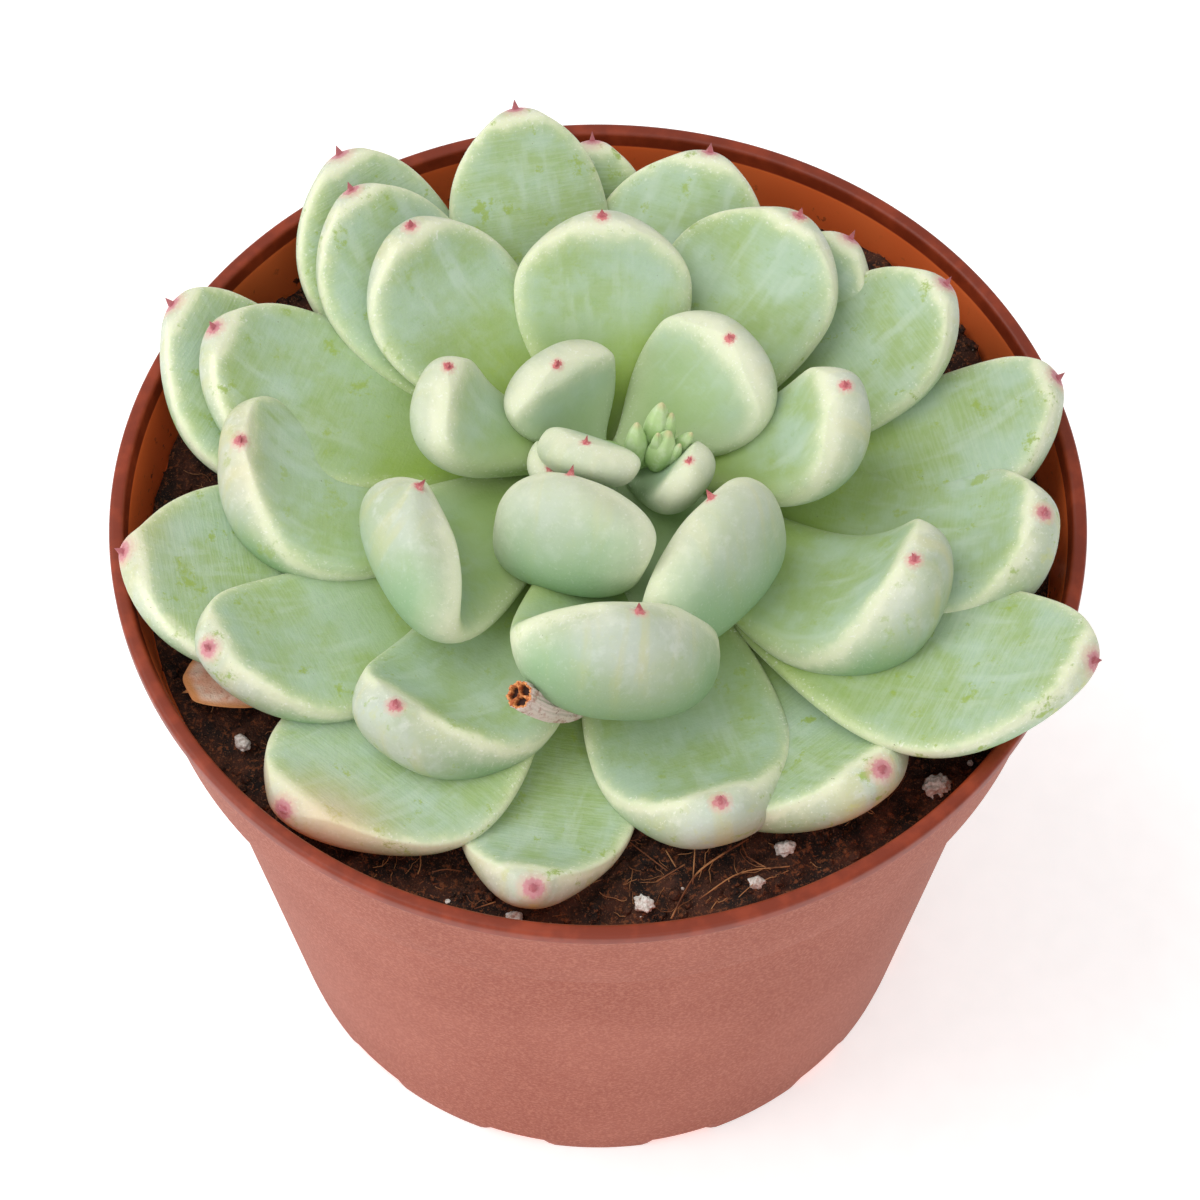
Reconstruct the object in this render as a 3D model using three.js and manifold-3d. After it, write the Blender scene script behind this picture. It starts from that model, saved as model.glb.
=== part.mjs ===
// A rosette succulent in a terracotta-coloured nursery pot. Millimetres, +Z up.
// The origin is the centre of the pot's base, on the surface it stands on, and -Y is the front.
// Azimuths are in degrees seen from above: 0 points to the front (-Y) and 90 to the right (+X).
import * as THREE from "three";
import { mergeVertices } from "three/addons/utils/BufferGeometryUtils.js";
import Module from "manifold-3d";

const wasm = await Module();
wasm.setup();

// ---- Driving dimensions ----
const GAP = 0.3; // left between neighbouring pieces
const SEGMENTS = 48; // round the pot and the soil
const FINEST = 0.06; // detail smaller than this is left out where pieces are cut

const RIM_RADIUS = 60;
const POT_HEIGHT = 90;
const WALL = 1.3;
const LIP_HEIGHT = 1.8;
const LIP_WIDTH = 1.8;
const COLLAR_HEIGHT = 18; // the wide band below the lip
const COLLAR_TOP_RADIUS = 59.2;
const COLLAR_FOOT_RADIUS = 56.2;
const BODY_TOP_RADIUS = 53.7;
const BASE_RADIUS = 41.6;
const LEDGE_DEPTH = 11; // the inner ledge lies this far below the rim
const LEDGE_WIDTH = 0.8;
const FLOOR_TOP = 4.4;
const FLOOR_UNDERSIDE = 3;
const FOOT_WIDTH = 1.8;
const NOTCHES = 12; // in the foot ring
const NOTCH_DEPTH = 1.2;
const NOTCH_ANGLE = 12;
const SLOT_WIDTH = 3.6; // drainage slots in the floor
const SLOT_INNER = 26;
const SLOT_OUTER = 36;

const SOIL_TOP = 79.9;
const SOIL_RINGS = 6;
const BANK_RISE = 4.6; // the soil is banked up against the wall at the back right
const BANK_AZIMUTH = 134;
const STEM_AXIS = new THREE.Vector2(1, 2);
const STEM_FOOT = 70;
const STEM_TOP = 100;
const STEM_FOOT_RADIUS = 8;
const STEM_TOP_RADIUS = 2.2;

const LEAF_SIDES = 10;
const LEAF_BASE_TOP = 99; // height at which the youngest leaf leaves the stem
const LEAF_BASE_SPAN = 15.5; // the oldest leaf leaves it this much lower
const LEAF_ROOT = 0.5; // a leaf starts this far inside the stem's surface
const FOOT_CAP = 0.2; // how far the middle of its foot stands out
const LEAF_THICKNESS = 6.4;
const NARROW_THINS = [0.45, 36]; // a leaf reaches its full thickness at (1 - first) * second mm of width
const LEAF_BEND = 0.3; // how far a slope reaches along the midline, as a share of its span
const LEAVE_REACH = 0.4; // the slope at the stem reaches at least this far
const FOOT_WIDTH_SHARE = 0.26; // a leaf's width at the stem, as a share of its widest
const FOOT_THICKNESS_SHARE = 0.36;
const UPPER_SHARE = 0.42; // of the thickness, above the midline
const LOWER_SHARE = 0.58; // and below it
const EDGE_SHARE = 0.14; // near the end the widest line lies this close under the upper face
const EDGE_RISES = 0.45; // where along the leaf it starts to rise there
const WIDEST = 0.7; // where along the leaf it is widest
const BLUNT = 0.8; // where along the leaf its end begins to round off
const RIDGE = 0.97; // where along the leaf the upper face ends in a ridge
const RIDGE_UP = [0.2, 0.42]; // the ridge above the tip, in thicknesses: youngest leaf, oldest leaf
const RIDGE_BACK = 0.1; // the ridge behind the tip, in thicknesses
const CURL_STARTS = 105; // a leaf whose tip leans in past this slope has a curled upper face
const CURL_FULL = 130;
const FLAT_TURNS = [0.6, 0.45]; // a flat upper face takes these shares of the midline's turn at its ends
const FLAT_HANDLES = [0.4, 0.3]; // and its curve has handles of these shares of its span
const CURLED_HANDLES = 0.85; // a curled one has handles of this share of the midline's
const CUP = 0.1; // how deeply the upper face of the oldest leaf is dished, as a share of its width
const MUCRO = 1.3; // the small point at the leaf's tip
const MUCRO_FULL = 16; // narrower leaves than this have a smaller point
const STALK_RADIUS = 1.85; // of the old, cut flower stalk

// Each leaf, from the youngest to the oldest: the azimuth, reach and height of its tip, seen from the
// stem, its width, and its shape. "leave" and "end" are the slopes in degrees of its midline at the stem
// and at the tip, and "bend" is how far those slopes reach along it. "sway" moves its middle sideways,
// anticlockwise from above, "skew" moves the blade's end to that side of the tip, and "roll" lifts that
// side by an angle. "ridge" is the height of its ridge above the tip, in thicknesses.
const LEAF_ROWS = [
  [330, 4.9, 108, 13.5, { end: 110, thick: 6.8, ridge: 0.6, roll: 12 }],
  [305, 8.2, 103, 11, { end: 95 }],
  [58, 11.6, 107, 9.5, { leave: -8, end: 98, bend: 0.5 }],
  [336, 10.5, 109, 20.5, { leave: -12, end: 132, bend: 1.08, sway: 2.4, thick: 7.4, roll: 13 }],
  [217, 9.8, 107, 15.5, { leave: 25, end: 100, bend: 0.6, thick: 6.9 }],
  [47, 17, 107, 23, { leave: -12, end: 128, bend: 1.05, sway: -4.5, thick: 7.4, skew: 1.5 }],
  [128, 19, 107, 19.5, { leave: 20, end: 100, bend: 0.5 }],
  [252, 20, 109, 12.5, { leave: 10, end: 102, bend: 0.6, sway: 2.5, thick: 7 }],
  [294, 24.4, 107, 23, { leave: -10, end: 130, bend: 0.75, sway: 3, thick: 6.3, skew: 3.5, ridge: 0.5 }],
  [8, 28, 107, 25, { leave: -14, end: 117, bend: 0.75, sway: -2.6, thick: 7.8, roll: -15, ridge: 0.5 }],
  [98, 29.1, 108, 15, { leave: 5, end: 102, bend: 0.5, sway: -2.5, thick: 5.6, ridge: 0.65, skew: 1.5 }],
  [181, 29.5, 108, 22, { leave: 15, end: 85 }],
  [65, 40.5, 102, 19, { leave: -8, end: 108, bend: 0.58, sway: -5, thick: 5.9, ridge: 0.42, skew: 5 }],
  [220, 37.5, 107, 21, { end: 88, sway: 1 }],
  [269, 44.4, 101, 22, { leave: -6, end: 100, bend: 0.5, sway: 3.5, thick: 5.4, ridge: 0.25, skew: -4 }],
  [323, 41.6, 95, 22.5, { leave: -6, end: 100, bend: 0.42, sway: 4, thick: 7.2, skew: -2 }],
  [143, 39.8, 105, 23, { end: 70, sway: 1 }],
  [17, 46.2, 91, 24.5, { leave: -6, end: 98, bend: 0.31, thick: 7.8 }],
  [81, 53.5, 99, 22, { leave: -2, end: 85, bend: 0.45, sway: -1 }],
  [164, 47.4, 100, 22, { end: 60, sway: 1 }],
  [250, 51.4, 101, 23, { end: 70, sway: 1.5 }],
  [221, 48.4, 104, 21, { end: 65, sway: 1.5 }],
  [297.9, 53.9, 95, 21, { leave: -2, end: 68, bend: 0.26, sway: 3, skew: -2, roll: -4 }],
  [120, 48.6, 101, 19.5, { end: 60 }],
  [193, 50.6, 104, 20, { end: 60, sway: 1 }],
  [103, 57.1, 97, 20, { end: 50, sway: -3.5 }],
  [318.5, 58, 88, 29, { leave: 0, end: 50, bend: 0.15, sway: 4.5, thick: 7.2 }],
  [39.5, 51.4, 91, 28, { leave: -3, end: 85, bend: 0.22, sway: -3, skew: -1, thick: 7.4 }],
  [137, 44.8, 99, 17, { end: 55 }],
  [64, 64.6, 97, 26, { leave: 4, end: 45, bend: 0.15, sway: -5.5 }],
  [281, 59.7, 95, 27, { leave: 0, end: 50, bend: 0.18, sway: 1.5, skew: 4 }],
  [351, 54.8, 88, 21.5, { leave: 6, end: 85, bend: 0.15, thick: 7.4, skew: -1.5 }],
  [217, 55.7, 101, 22, { leave: 4, end: 60, sway: 2.5 }],
  [246, 59.1, 97, 23, { leave: 3, end: 50, bend: 0.25, sway: 5 }],
  [182, 49.7, 97, 16, { leave: 3, end: 60 }],
];
const LEAVES = LEAF_ROWS.map(([azimuth, reach, tip, width, shape], i) => {
  return { azimuth, reach, tip, width, age: i / (LEAF_ROWS.length - 1), ...shape };
});
// The old leaf that lies withered on the soil.
const WITHERED = {
  azimuth: 295,
  reach: 56,
  tip: 82.8,
  width: 13,
  age: 1,
  base: 83.4,
  leave: 0,
  end: 4,
  thick: 1.6,
};

// Grains of perlite in the soil's surface: x, y and the size across.
const PERLITE = [
  [40.9, -34, 3.4],
  [22.4, -42.4, 2.6],
  [5.5, -50.4, 2.6],
  [-10.1, -51.7, 2.4],
  [54, -1.6, 2.6],
  [-19.6, -40.7, 2.2],
  [-43.2, -27.7, 2.2],
  [19, -47.2, 2],
];

// ---- Solids ----
function solidOf(geometry) {
  const bare = geometry.index ? geometry.toNonIndexed() : geometry.clone();
  for (const name of Object.keys(bare.attributes)) if (name !== "position") bare.deleteAttribute(name);
  const merged = mergeVertices(bare, 1e-4);
  return new wasm.Manifold(
    new wasm.Mesh({
      numProp: 3,
      vertProperties: new Float32Array(merged.attributes.position.array),
      triVerts: new Uint32Array(merged.index.array),
    }),
  );
}

function geometryOf(solid) {
  const mesh = solid.getMesh();
  const geometry = new THREE.BufferGeometry();
  const points = new Float32Array(mesh.numVert * 3);
  for (let i = 0; i < mesh.numVert; i++) {
    points.set(mesh.vertProperties.subarray(i * mesh.numProp, i * mesh.numProp + 3), i * 3);
  }
  geometry.setAttribute("position", new THREE.BufferAttribute(points, 3));
  geometry.setIndex(new THREE.BufferAttribute(mesh.triVerts, 1));
  geometry.computeVertexNormals();
  return geometry;
}

// The largest body of a solid: a cut can leave a loose scrap.
function largest(solid) {
  return solid.decompose().reduce((a, b) => (b.volume() > a.volume() ? b : a));
}

// A profile of [radius, height] turned round the Z axis.
function turned(profile, segments = SEGMENTS) {
  const points = profile.map(([r, z]) => new THREE.Vector2(r, z));
  return new THREE.LatheGeometry(points, segments).rotateX(Math.PI / 2);
}

// A closed skin over rings of points, each ring with the same count, capped by one point at each end.
function skin(rings, first, last) {
  const points = [first, ...rings.flat(), last];
  const sides = rings[0].length;
  const at = (i, j) => 1 + i * sides + (j % sides);
  const faces = [];
  for (let j = 0; j < sides; j++) {
    faces.push(0, at(0, j + 1), at(0, j));
    faces.push(points.length - 1, at(rings.length - 1, j), at(rings.length - 1, j + 1));
    for (let i = 0; i < rings.length - 1; i++) {
      faces.push(at(i, j), at(i, j + 1), at(i + 1, j + 1));
      faces.push(at(i, j), at(i + 1, j + 1), at(i + 1, j));
    }
  }
  const geometry = new THREE.BufferGeometry().setFromPoints(points);
  geometry.setIndex(faces);
  return geometry;
}

// ---- The pot ----
const between = (t, low, high) => low + (high - low) * t;
const COLLAR_FOOT = POT_HEIGHT - COLLAR_HEIGHT;
const LEDGE = POT_HEIGHT - LEDGE_DEPTH;
const BARREL_TOP = COLLAR_FOOT - 1; // the inside is straight below this height

function collarInner(z) {
  return between((z - COLLAR_FOOT) / COLLAR_HEIGHT, COLLAR_FOOT_RADIUS, COLLAR_TOP_RADIUS) - WALL;
}

function bodyInner(z) {
  return between(z / COLLAR_FOOT, BASE_RADIUS, BODY_TOP_RADIUS) - WALL;
}

function potProfile() {
  const lipFoot = POT_HEIGHT - LIP_HEIGHT;
  const lipInner = RIM_RADIUS - LIP_WIDTH;
  return [
    [0, FLOOR_UNDERSIDE],
    [BASE_RADIUS - FOOT_WIDTH - 1, FLOOR_UNDERSIDE],
    [BASE_RADIUS - FOOT_WIDTH, 0],
    [BASE_RADIUS, 0],
    [BASE_RADIUS + 0.5, 2.5],
    [BODY_TOP_RADIUS, COLLAR_FOOT],
    [COLLAR_FOOT_RADIUS, COLLAR_FOOT],
    [COLLAR_TOP_RADIUS, lipFoot],
    [RIM_RADIUS - 0.2, lipFoot],
    [RIM_RADIUS, lipFoot + 0.4],
    [RIM_RADIUS, POT_HEIGHT - 0.4],
    [RIM_RADIUS - 0.4, POT_HEIGHT],
    [lipInner + 0.3, POT_HEIGHT],
    [lipInner, POT_HEIGHT - 0.4],
    [collarInner(lipFoot), lipFoot - 0.4],
    [collarInner(LEDGE), LEDGE],
    [collarInner(LEDGE) - LEDGE_WIDTH, LEDGE],
    [bodyInner(BARREL_TOP), BARREL_TOP],
    [bodyInner(FLOOR_TOP + 1.5), FLOOR_TOP + 1.5],
    [bodyInner(FLOOR_TOP) - 1.5, FLOOR_TOP],
    [0, FLOOR_TOP],
  ];
}

// A block that points outwards from the axis, for cutting notches and slots.
function radialBlock(inner, outer, width, low, high, azimuth) {
  const block = new THREE.BoxGeometry(width, outer - inner, high - low);
  block.translate(0, -(inner + outer) / 2, (low + high) / 2);
  return solidOf(block.rotateZ(THREE.MathUtils.degToRad(azimuth)));
}

function makePot() {
  let pot = solidOf(turned(potProfile()));
  const notchWidth = 2 * BASE_RADIUS * Math.sin(THREE.MathUtils.degToRad(NOTCH_ANGLE / 2));
  for (let i = 0; i < NOTCHES; i++) {
    const azimuth = ((i + 0.5) * 360) / NOTCHES;
    const notch = radialBlock(BASE_RADIUS - 5, BASE_RADIUS + 3, notchWidth, -1, NOTCH_DEPTH, azimuth);
    const slot = radialBlock(SLOT_INNER, SLOT_OUTER, SLOT_WIDTH, 1, FLOOR_TOP + 1, azimuth);
    pot = pot.subtract(notch).subtract(slot);
  }
  return pot;
}

// ---- The soil ----
// The soil's height: a rough surface that is banked up against the wall in one place.
function soilHeight(x, y) {
  const radius = Math.hypot(x, y);
  const aside = (THREE.MathUtils.radToDeg(Math.atan2(x, -y)) - BANK_AZIMUTH) / 24;
  const bank = Math.exp(-aside * aside) * THREE.MathUtils.smoothstep(radius, 40, 56);
  const rough = Math.sin(0.61 * x + 1.3) * Math.sin(0.53 * y + 0.4) + 0.7 * Math.sin(1.1 * x - 0.9 * y);
  return SOIL_TOP + BANK_RISE * bank + 0.4 * rough;
}

function makeSoil() {
  const barrel = bodyInner(BARREL_TOP) - GAP;
  const edge = collarInner(LEDGE) - LEDGE_WIDTH - GAP;
  const profile = [
    [0, FLOOR_TOP + GAP],
    [bodyInner(FLOOR_TOP) - 1.8, FLOOR_TOP + GAP],
    [bodyInner(FLOOR_TOP + 1.5) - GAP, FLOOR_TOP + 1.8],
    [barrel, BARREL_TOP],
    [edge, LEDGE - GAP],
    [edge, LEDGE + GAP],
    [collarInner(LEDGE) - GAP, LEDGE + GAP],
  ];
  for (let i = SOIL_RINGS; i >= 0; i--) profile.push([(collarInner(LEDGE) * i) / SOIL_RINGS, SOIL_TOP]);
  const geometry = turned(profile);
  const at = geometry.attributes.position;
  for (let i = 0; i < at.count; i++) {
    if (at.getZ(i) < SOIL_TOP - 1e-3) continue;
    const height = soilHeight(at.getX(i), at.getY(i));
    const radius = Math.hypot(at.getX(i), at.getY(i));
    const inside = radius > edge ? (collarInner(height) - GAP) / radius : 1;
    at.setXYZ(i, at.getX(i) * inside, at.getY(i) * inside, height);
  }
  return solidOf(geometry);
}

// A grain, sunk a little more than half into the soil.
function grainGeometry([x, y, size], grow = 0) {
  const grain = new THREE.IcosahedronGeometry(size / 2 + grow, 0);
  grain.scale(1.15, 0.95, 0.85).rotateZ(x).rotateX(y);
  return grain.translate(x, y, soilHeight(x, y) + 0.1 * size);
}

// ---- The stem, the old stalk and the buds ----
function stemRadius(z) {
  const shoulder = LEAF_BASE_TOP - LEAF_BASE_SPAN;
  const share = THREE.MathUtils.clamp((z - shoulder) / (STEM_TOP - shoulder), 0, 1);
  return between(share, STEM_FOOT_RADIUS, STEM_TOP_RADIUS);
}

function makeStem(grow = 0) {
  const stem = turned(
    [
      [0, STEM_FOOT - grow],
      [STEM_FOOT_RADIUS - 1 + grow, STEM_FOOT - grow],
      [STEM_FOOT_RADIUS + grow, STEM_FOOT + 2],
      [STEM_FOOT_RADIUS + grow, LEAF_BASE_TOP - LEAF_BASE_SPAN],
      [STEM_TOP_RADIUS + grow, STEM_TOP - 1],
      [0, STEM_TOP + grow],
    ],
    14,
  );
  stem.translate(STEM_AXIS.x, STEM_AXIS.y, 0);
  return solidOf(stem);
}

// A round rod along a smooth curve through the points.
function rod(points, radius, sides, steps) {
  const curve = new THREE.CatmullRomCurve3(points.map(([x, y, z]) => new THREE.Vector3(x, y, z)));
  const frames = curve.computeFrenetFrames(steps, false);
  const rings = Array.from({ length: steps + 1 }, (_, i) => {
    const centre = curve.getPointAt(i / steps);
    return Array.from({ length: sides }, (_, j) => {
      const turn = (2 * Math.PI * j) / sides;
      return centre
        .clone()
        .addScaledVector(frames.normals[i], radius * Math.cos(turn))
        .addScaledVector(frames.binormals[i], radius * Math.sin(turn));
    });
  });
  return skin(rings, curve.getPointAt(0), curve.getPointAt(1));
}

const STALK_PATH = [
  [1, -2.5, 89.5],
  [0.4, -14, 87.6],
  [-2.2, -26, 88.6],
  [-5.6, -30.4, 93.2],
  [-9.3, -32.6, 99.6],
];
const BUD_STALK = [
  [2.4, 1.6, 98],
  [4.6, 0.8, 99.6],
  [6.8, 0, 102.6],
];
const BUDS = [
  { foot: [4.4, -0.6, 100], tip: [4.7, 0.6, 108], width: 2.7 },
  { foot: [6.5, 1.2, 101], tip: [7.7, 2.1, 110], width: 3 },
  { foot: [7.2, 0.8, 101], tip: [8.9, 1.6, 108.6], width: 2.4 },
  { foot: [6.8, -1, 100.6], tip: [8.6, -0.7, 108], width: 3.2 },
  { foot: [7, -0.4, 101], tip: [7.2, -1.2, 108.4], width: 1.8 },
  { foot: [9, 0.2, 101.4], tip: [11.3, -0.2, 107], width: 1.9 },
  { foot: [8.2, -1.2, 101.2], tip: [9.9, -1.5, 106.5], width: 1.7 },
];

// One long flower bud, rounded at both ends.
function budGeometry({ foot, tip, width }, grow) {
  const [low, high] = [new THREE.Vector3(...foot), new THREE.Vector3(...tip)];
  const along = high.clone().sub(low);
  const half = width / 2 + grow;
  const bud = new THREE.IcosahedronGeometry(1, 1).scale(half, half, along.length() / 2 + grow);
  const upright = new THREE.Vector3(0, 0, 1);
  bud.applyQuaternion(new THREE.Quaternion().setFromUnitVectors(upright, along.normalize()));
  return bud.translate((foot[0] + tip[0]) / 2, (foot[1] + tip[1]) / 2, (foot[2] + tip[2]) / 2);
}

// The cluster of young flower buds on its short stalk.
function makeBuds(grow = 0) {
  const stalk = solidOf(rod(BUD_STALK, 1.3 + grow, 7, 4));
  return BUDS.reduce((buds, bud) => buds.add(solidOf(budGeometry(bud, grow))), stalk);
}

// ---- The leaves ----
const radians = THREE.MathUtils.degToRad;
const limited = (x) => THREE.MathUtils.clamp(x, 0, 1);
const heading = (slope) => new THREE.Vector2(Math.cos(slope), Math.sin(slope));
const above = (along) => new THREE.Vector2(-along.y, along.x);

// A curve in the upright plane of a leaf, where x is outwards and y is up, from its ends and its slopes.
function curveBetween(start, leave, reach, end, arrive, bend) {
  const second = start.clone().addScaledVector(heading(leave), reach);
  const third = end.clone().addScaledVector(heading(arrive), -bend);
  return new THREE.CubicBezierCurve(start, second, third, end);
}

function midlineOf(leaf) {
  const base = leaf.base ?? LEAF_BASE_TOP - LEAF_BASE_SPAN * leaf.age;
  const start = new THREE.Vector2(stemRadius(base) - LEAF_ROOT, base);
  const end = new THREE.Vector2(leaf.reach, leaf.tip);
  const span = start.distanceTo(end);
  const leave = radians(leaf.leave ?? between(leaf.age ** 0.6, 60, -2));
  const bend = (leaf.bend ?? LEAF_BEND) * span;
  return curveBetween(start, leave, Math.max(bend, LEAVE_REACH * span), end, radians(leaf.end), bend);
}

// The leaf's thickest, in mm: a narrow leaf is thinner.
function thickest(leaf) {
  const [least, width] = NARROW_THINS;
  return (leaf.thick ?? LEAF_THICKNESS) * Math.min(1, least + leaf.width / width);
}

// Half of the leaf's width at s, from 0 at the base to 1 at the tip, as a share of its widest.
function outline(s) {
  const rising = Math.sin((limited(s / WIDEST) * Math.PI) / 2) ** 1.3;
  if (s < WIDEST) return between(rising, FOOT_WIDTH_SHARE, 1);
  const u = (s - WIDEST) / (1 - WIDEST);
  return Math.max(0, 1 - u ** 2.3) ** 0.68;
}

// The leaf's thickness at s before its end rounds off, as a share of its thickest.
function swell(s) {
  return between(Math.sin((limited(s / BLUNT) * Math.PI) / 2) ** 1.3, FOOT_THICKNESS_SHARE, 1);
}

// The upper face seen from the side: a curve of its own from the stem to the ridge, so that the leaf is
// filled where its midline turns up, and curled only where the tip leans inwards.
function upperFaceOf(leaf, midline) {
  const thick = thickest(leaf);
  const [foot, tip] = [midline.getPoint(0), midline.getPoint(1)];
  const [leaving, arriving] = [midline.getTangent(0), midline.getTangent(1)];
  const ridgeUp = leaf.ridge ?? between(Math.sqrt(leaf.age), ...RIDGE_UP);
  foot.addScaledVector(above(leaving), thick * UPPER_SHARE * swell(0));
  tip.addScaledVector(above(arriving), thick * ridgeUp).addScaledVector(arriving, -thick * RIDGE_BACK);
  const span = foot.distanceTo(tip);
  const slope = Math.atan2(tip.y - foot.y, tip.x - foot.x);
  const curl = limited((leaf.end - CURL_STARTS) / (CURL_FULL - CURL_STARTS));
  const leave = between(between(curl, FLAT_TURNS[0], 1), slope, Math.atan2(leaving.y, leaving.x));
  const arrive = between(between(curl, FLAT_TURNS[1], 1), slope, radians(leaf.end));
  const bend = leaf.bend ?? LEAF_BEND;
  const curled = [CURLED_HANDLES * Math.max(bend, LEAVE_REACH), CURLED_HANDLES * bend];
  const [first, second] = FLAT_HANDLES.map((flat, i) => span * between(curl, flat, curled[i]));
  return curveBetween(foot, leave, first, tip, arrive, second);
}

// The last ring lies on the ridge.
const RING_PLACES = [0, 0.18, 0.37, 0.55, 0.7, 0.83, 0.93, RIDGE];

// A section's corner exponents: its upper half is flatter and its lower half rounder.
const rounding = (turn) => (Math.sin(turn) > 0 ? [0.62, 0.7] : [0.8, 0.88]);
const eased = (x, power) => Math.sign(x) * Math.abs(x) ** power;

function leafGeometry(leaf, grow = 0) {
  const midline = midlineOf(leaf);
  const upperFace = upperFaceOf(leaf, midline);
  const thick = thickest(leaf);
  const turn = radians(leaf.azimuth);
  const lean = Math.tan(radians(leaf.roll ?? 0));
  const place = (outwards, sideways, up) =>
    new THREE.Vector3(
      STEM_AXIS.x + outwards * Math.sin(turn) + sideways * Math.cos(turn),
      STEM_AXIS.y - outwards * Math.cos(turn) + sideways * Math.sin(turn),
      up + sideways * lean,
    );
  const rings = RING_PLACES.map((s) => {
    const along = midline.getTangentAt(s);
    const u = Math.max(0, (s - BLUNT) / (1 - BLUNT));
    const depth = LOWER_SHARE * thick * swell(s) * Math.sqrt(1 - u ** 2.2);
    const lower = midline.getPointAt(s).addScaledVector(above(along), -depth - grow);
    const upper = upperFace.getPointAt(s / RIDGE).addScaledVector(above(along), grow);
    const edge = between(limited((s - EDGE_RISES) / EDGE_RISES) ** 1.5, UPPER_SHARE, EDGE_SHARE);
    const margin = upper.clone().lerp(lower, edge);
    const half = (leaf.width / 2) * outline(s) + grow;
    const dish = leaf.age * CUP * leaf.width * outline(s) * Math.sin(Math.PI * s) ** 2;
    const skew = (leaf.skew ?? 0) * s ** 3 * (1 - s ** 30);
    const aside = (leaf.sway ?? 0) * Math.sin(Math.PI * s ** 1.8) + skew;
    return Array.from({ length: LEAF_SIDES }, (_, j) => {
      const round = (2 * Math.PI * j) / LEAF_SIDES;
      const [wide, high] = rounding(round);
      const across = eased(Math.cos(round), wide);
      const rise = eased(Math.sin(round), high);
      const point = margin.clone().lerp(rise > 0 ? upper : lower, Math.abs(rise));
      point.addScaledVector(above(along), dish * (across * across - 0.4));
      return place(point.x, aside + half * across, point.y);
    });
  });
  const spike = MUCRO * Math.min(1, leaf.width / MUCRO_FULL) + grow;
  const foot = midline.getPoint(0).addScaledVector(midline.getTangent(0), -FOOT_CAP - grow);
  const tip = midline.getPoint(1).addScaledVector(midline.getTangent(1), spike);
  return skin(rings, place(foot.x, 0, foot.y), place(tip.x, 0, tip.y));
}

// ---- The object ----
const root = new THREE.Group();
const finish = (color, roughness) => new THREE.MeshStandardMaterial({ color, roughness, metalness: 0 });
const TERRACOTTA = finish(0xb5654a, 0.6);
const PEAT = finish(0x33231b, 0.95);
const STEM_GREEN = finish(0x9aa876, 0.7);
const LEAF_GREEN = finish(0xa9c6a4, 0.55);
const WITHERED_PINK = finish(0xc98f78, 0.7);
const STALK_BROWN = finish(0xa08072, 0.8);
const PERLITE_WHITE = finish(0xe6e2da, 0.9);

function add(name, solid, material) {
  const mesh = new THREE.Mesh(geometryOf(solid), material);
  mesh.name = name;
  root.add(mesh);
}

// Each piece is cut clear of the ones that were there before it.
const taken = [];
function clear(solid) {
  return largest(taken.reduce((rest, other) => rest.subtract(other), solid)).simplify(FINEST);
}

const numbered = (name, i) => name + "_" + String(i + 1).padStart(2, "0");

add("pot", makePot(), TERRACOTTA);
add("stem", makeStem(), STEM_GREEN);
taken.push(makeStem(GAP));

add("flower_buds", clear(makeBuds()), LEAF_GREEN);
taken.push(makeBuds(GAP));
add("old_flower_stalk", clear(solidOf(rod(STALK_PATH, STALK_RADIUS, 10, 12))), STALK_BROWN);
taken.push(solidOf(rod(STALK_PATH, STALK_RADIUS + GAP, 10, 12)));

LEAVES.forEach((leaf, i) => {
  add(numbered("leaf", i), clear(solidOf(leafGeometry(leaf))), LEAF_GREEN);
  taken.push(solidOf(leafGeometry(leaf, GAP)));
});
add("withered_leaf", clear(solidOf(leafGeometry(WITHERED))), WITHERED_PINK);
taken.push(solidOf(leafGeometry(WITHERED, GAP)));

PERLITE.forEach((grain, i) => {
  add(numbered("perlite", i), clear(solidOf(grainGeometry(grain))), PERLITE_WHITE);
  taken.push(solidOf(grainGeometry(grain, GAP)));
});
add("soil", clear(makeSoil()), PEAT);

export default root;
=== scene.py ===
# %% [markdown]
# # A potted succulent
# The construction comes in as a fixed frame: the pot, the soil, the stem and each leaf as a plain solid, in
# metres, with +Z up and -Y as the front. Everything below is drawn in that frame, so nothing is fitted
# afterwards.

# %% Load the frame
import math

import bmesh
import bpy
import numpy as np
from mathutils import Matrix, Vector, noise


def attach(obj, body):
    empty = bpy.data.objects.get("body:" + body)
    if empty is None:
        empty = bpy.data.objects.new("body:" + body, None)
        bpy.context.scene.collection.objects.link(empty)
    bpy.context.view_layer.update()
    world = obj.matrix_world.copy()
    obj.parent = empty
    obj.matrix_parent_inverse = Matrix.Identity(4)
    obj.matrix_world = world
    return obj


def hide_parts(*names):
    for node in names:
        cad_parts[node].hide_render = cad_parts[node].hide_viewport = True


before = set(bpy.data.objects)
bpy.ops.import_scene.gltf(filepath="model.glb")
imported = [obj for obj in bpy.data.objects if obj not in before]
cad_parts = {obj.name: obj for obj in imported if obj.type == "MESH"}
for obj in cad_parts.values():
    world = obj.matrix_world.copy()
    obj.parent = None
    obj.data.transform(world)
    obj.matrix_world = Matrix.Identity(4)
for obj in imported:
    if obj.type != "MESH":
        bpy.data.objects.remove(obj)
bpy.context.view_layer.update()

MM = 0.001
print("nodes in the frame:", len(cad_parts))

# %% [markdown]
# ## The camera
# The photograph looks down on the pot at about 57 degrees, through a long lens from about 0.7 m. Its
# perspective was found from the pot alone, whose rim and base are true circles. The camera comes early, so
# that every piece can be judged from where the photograph was taken.

# %% Camera
CAMERA_PLACE = (0.24 * MM, -363.6 * MM, 633.6 * MM)
CAMERA_TILT = 32.81  # degrees up from looking straight down
LENS = 159.9

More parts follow.
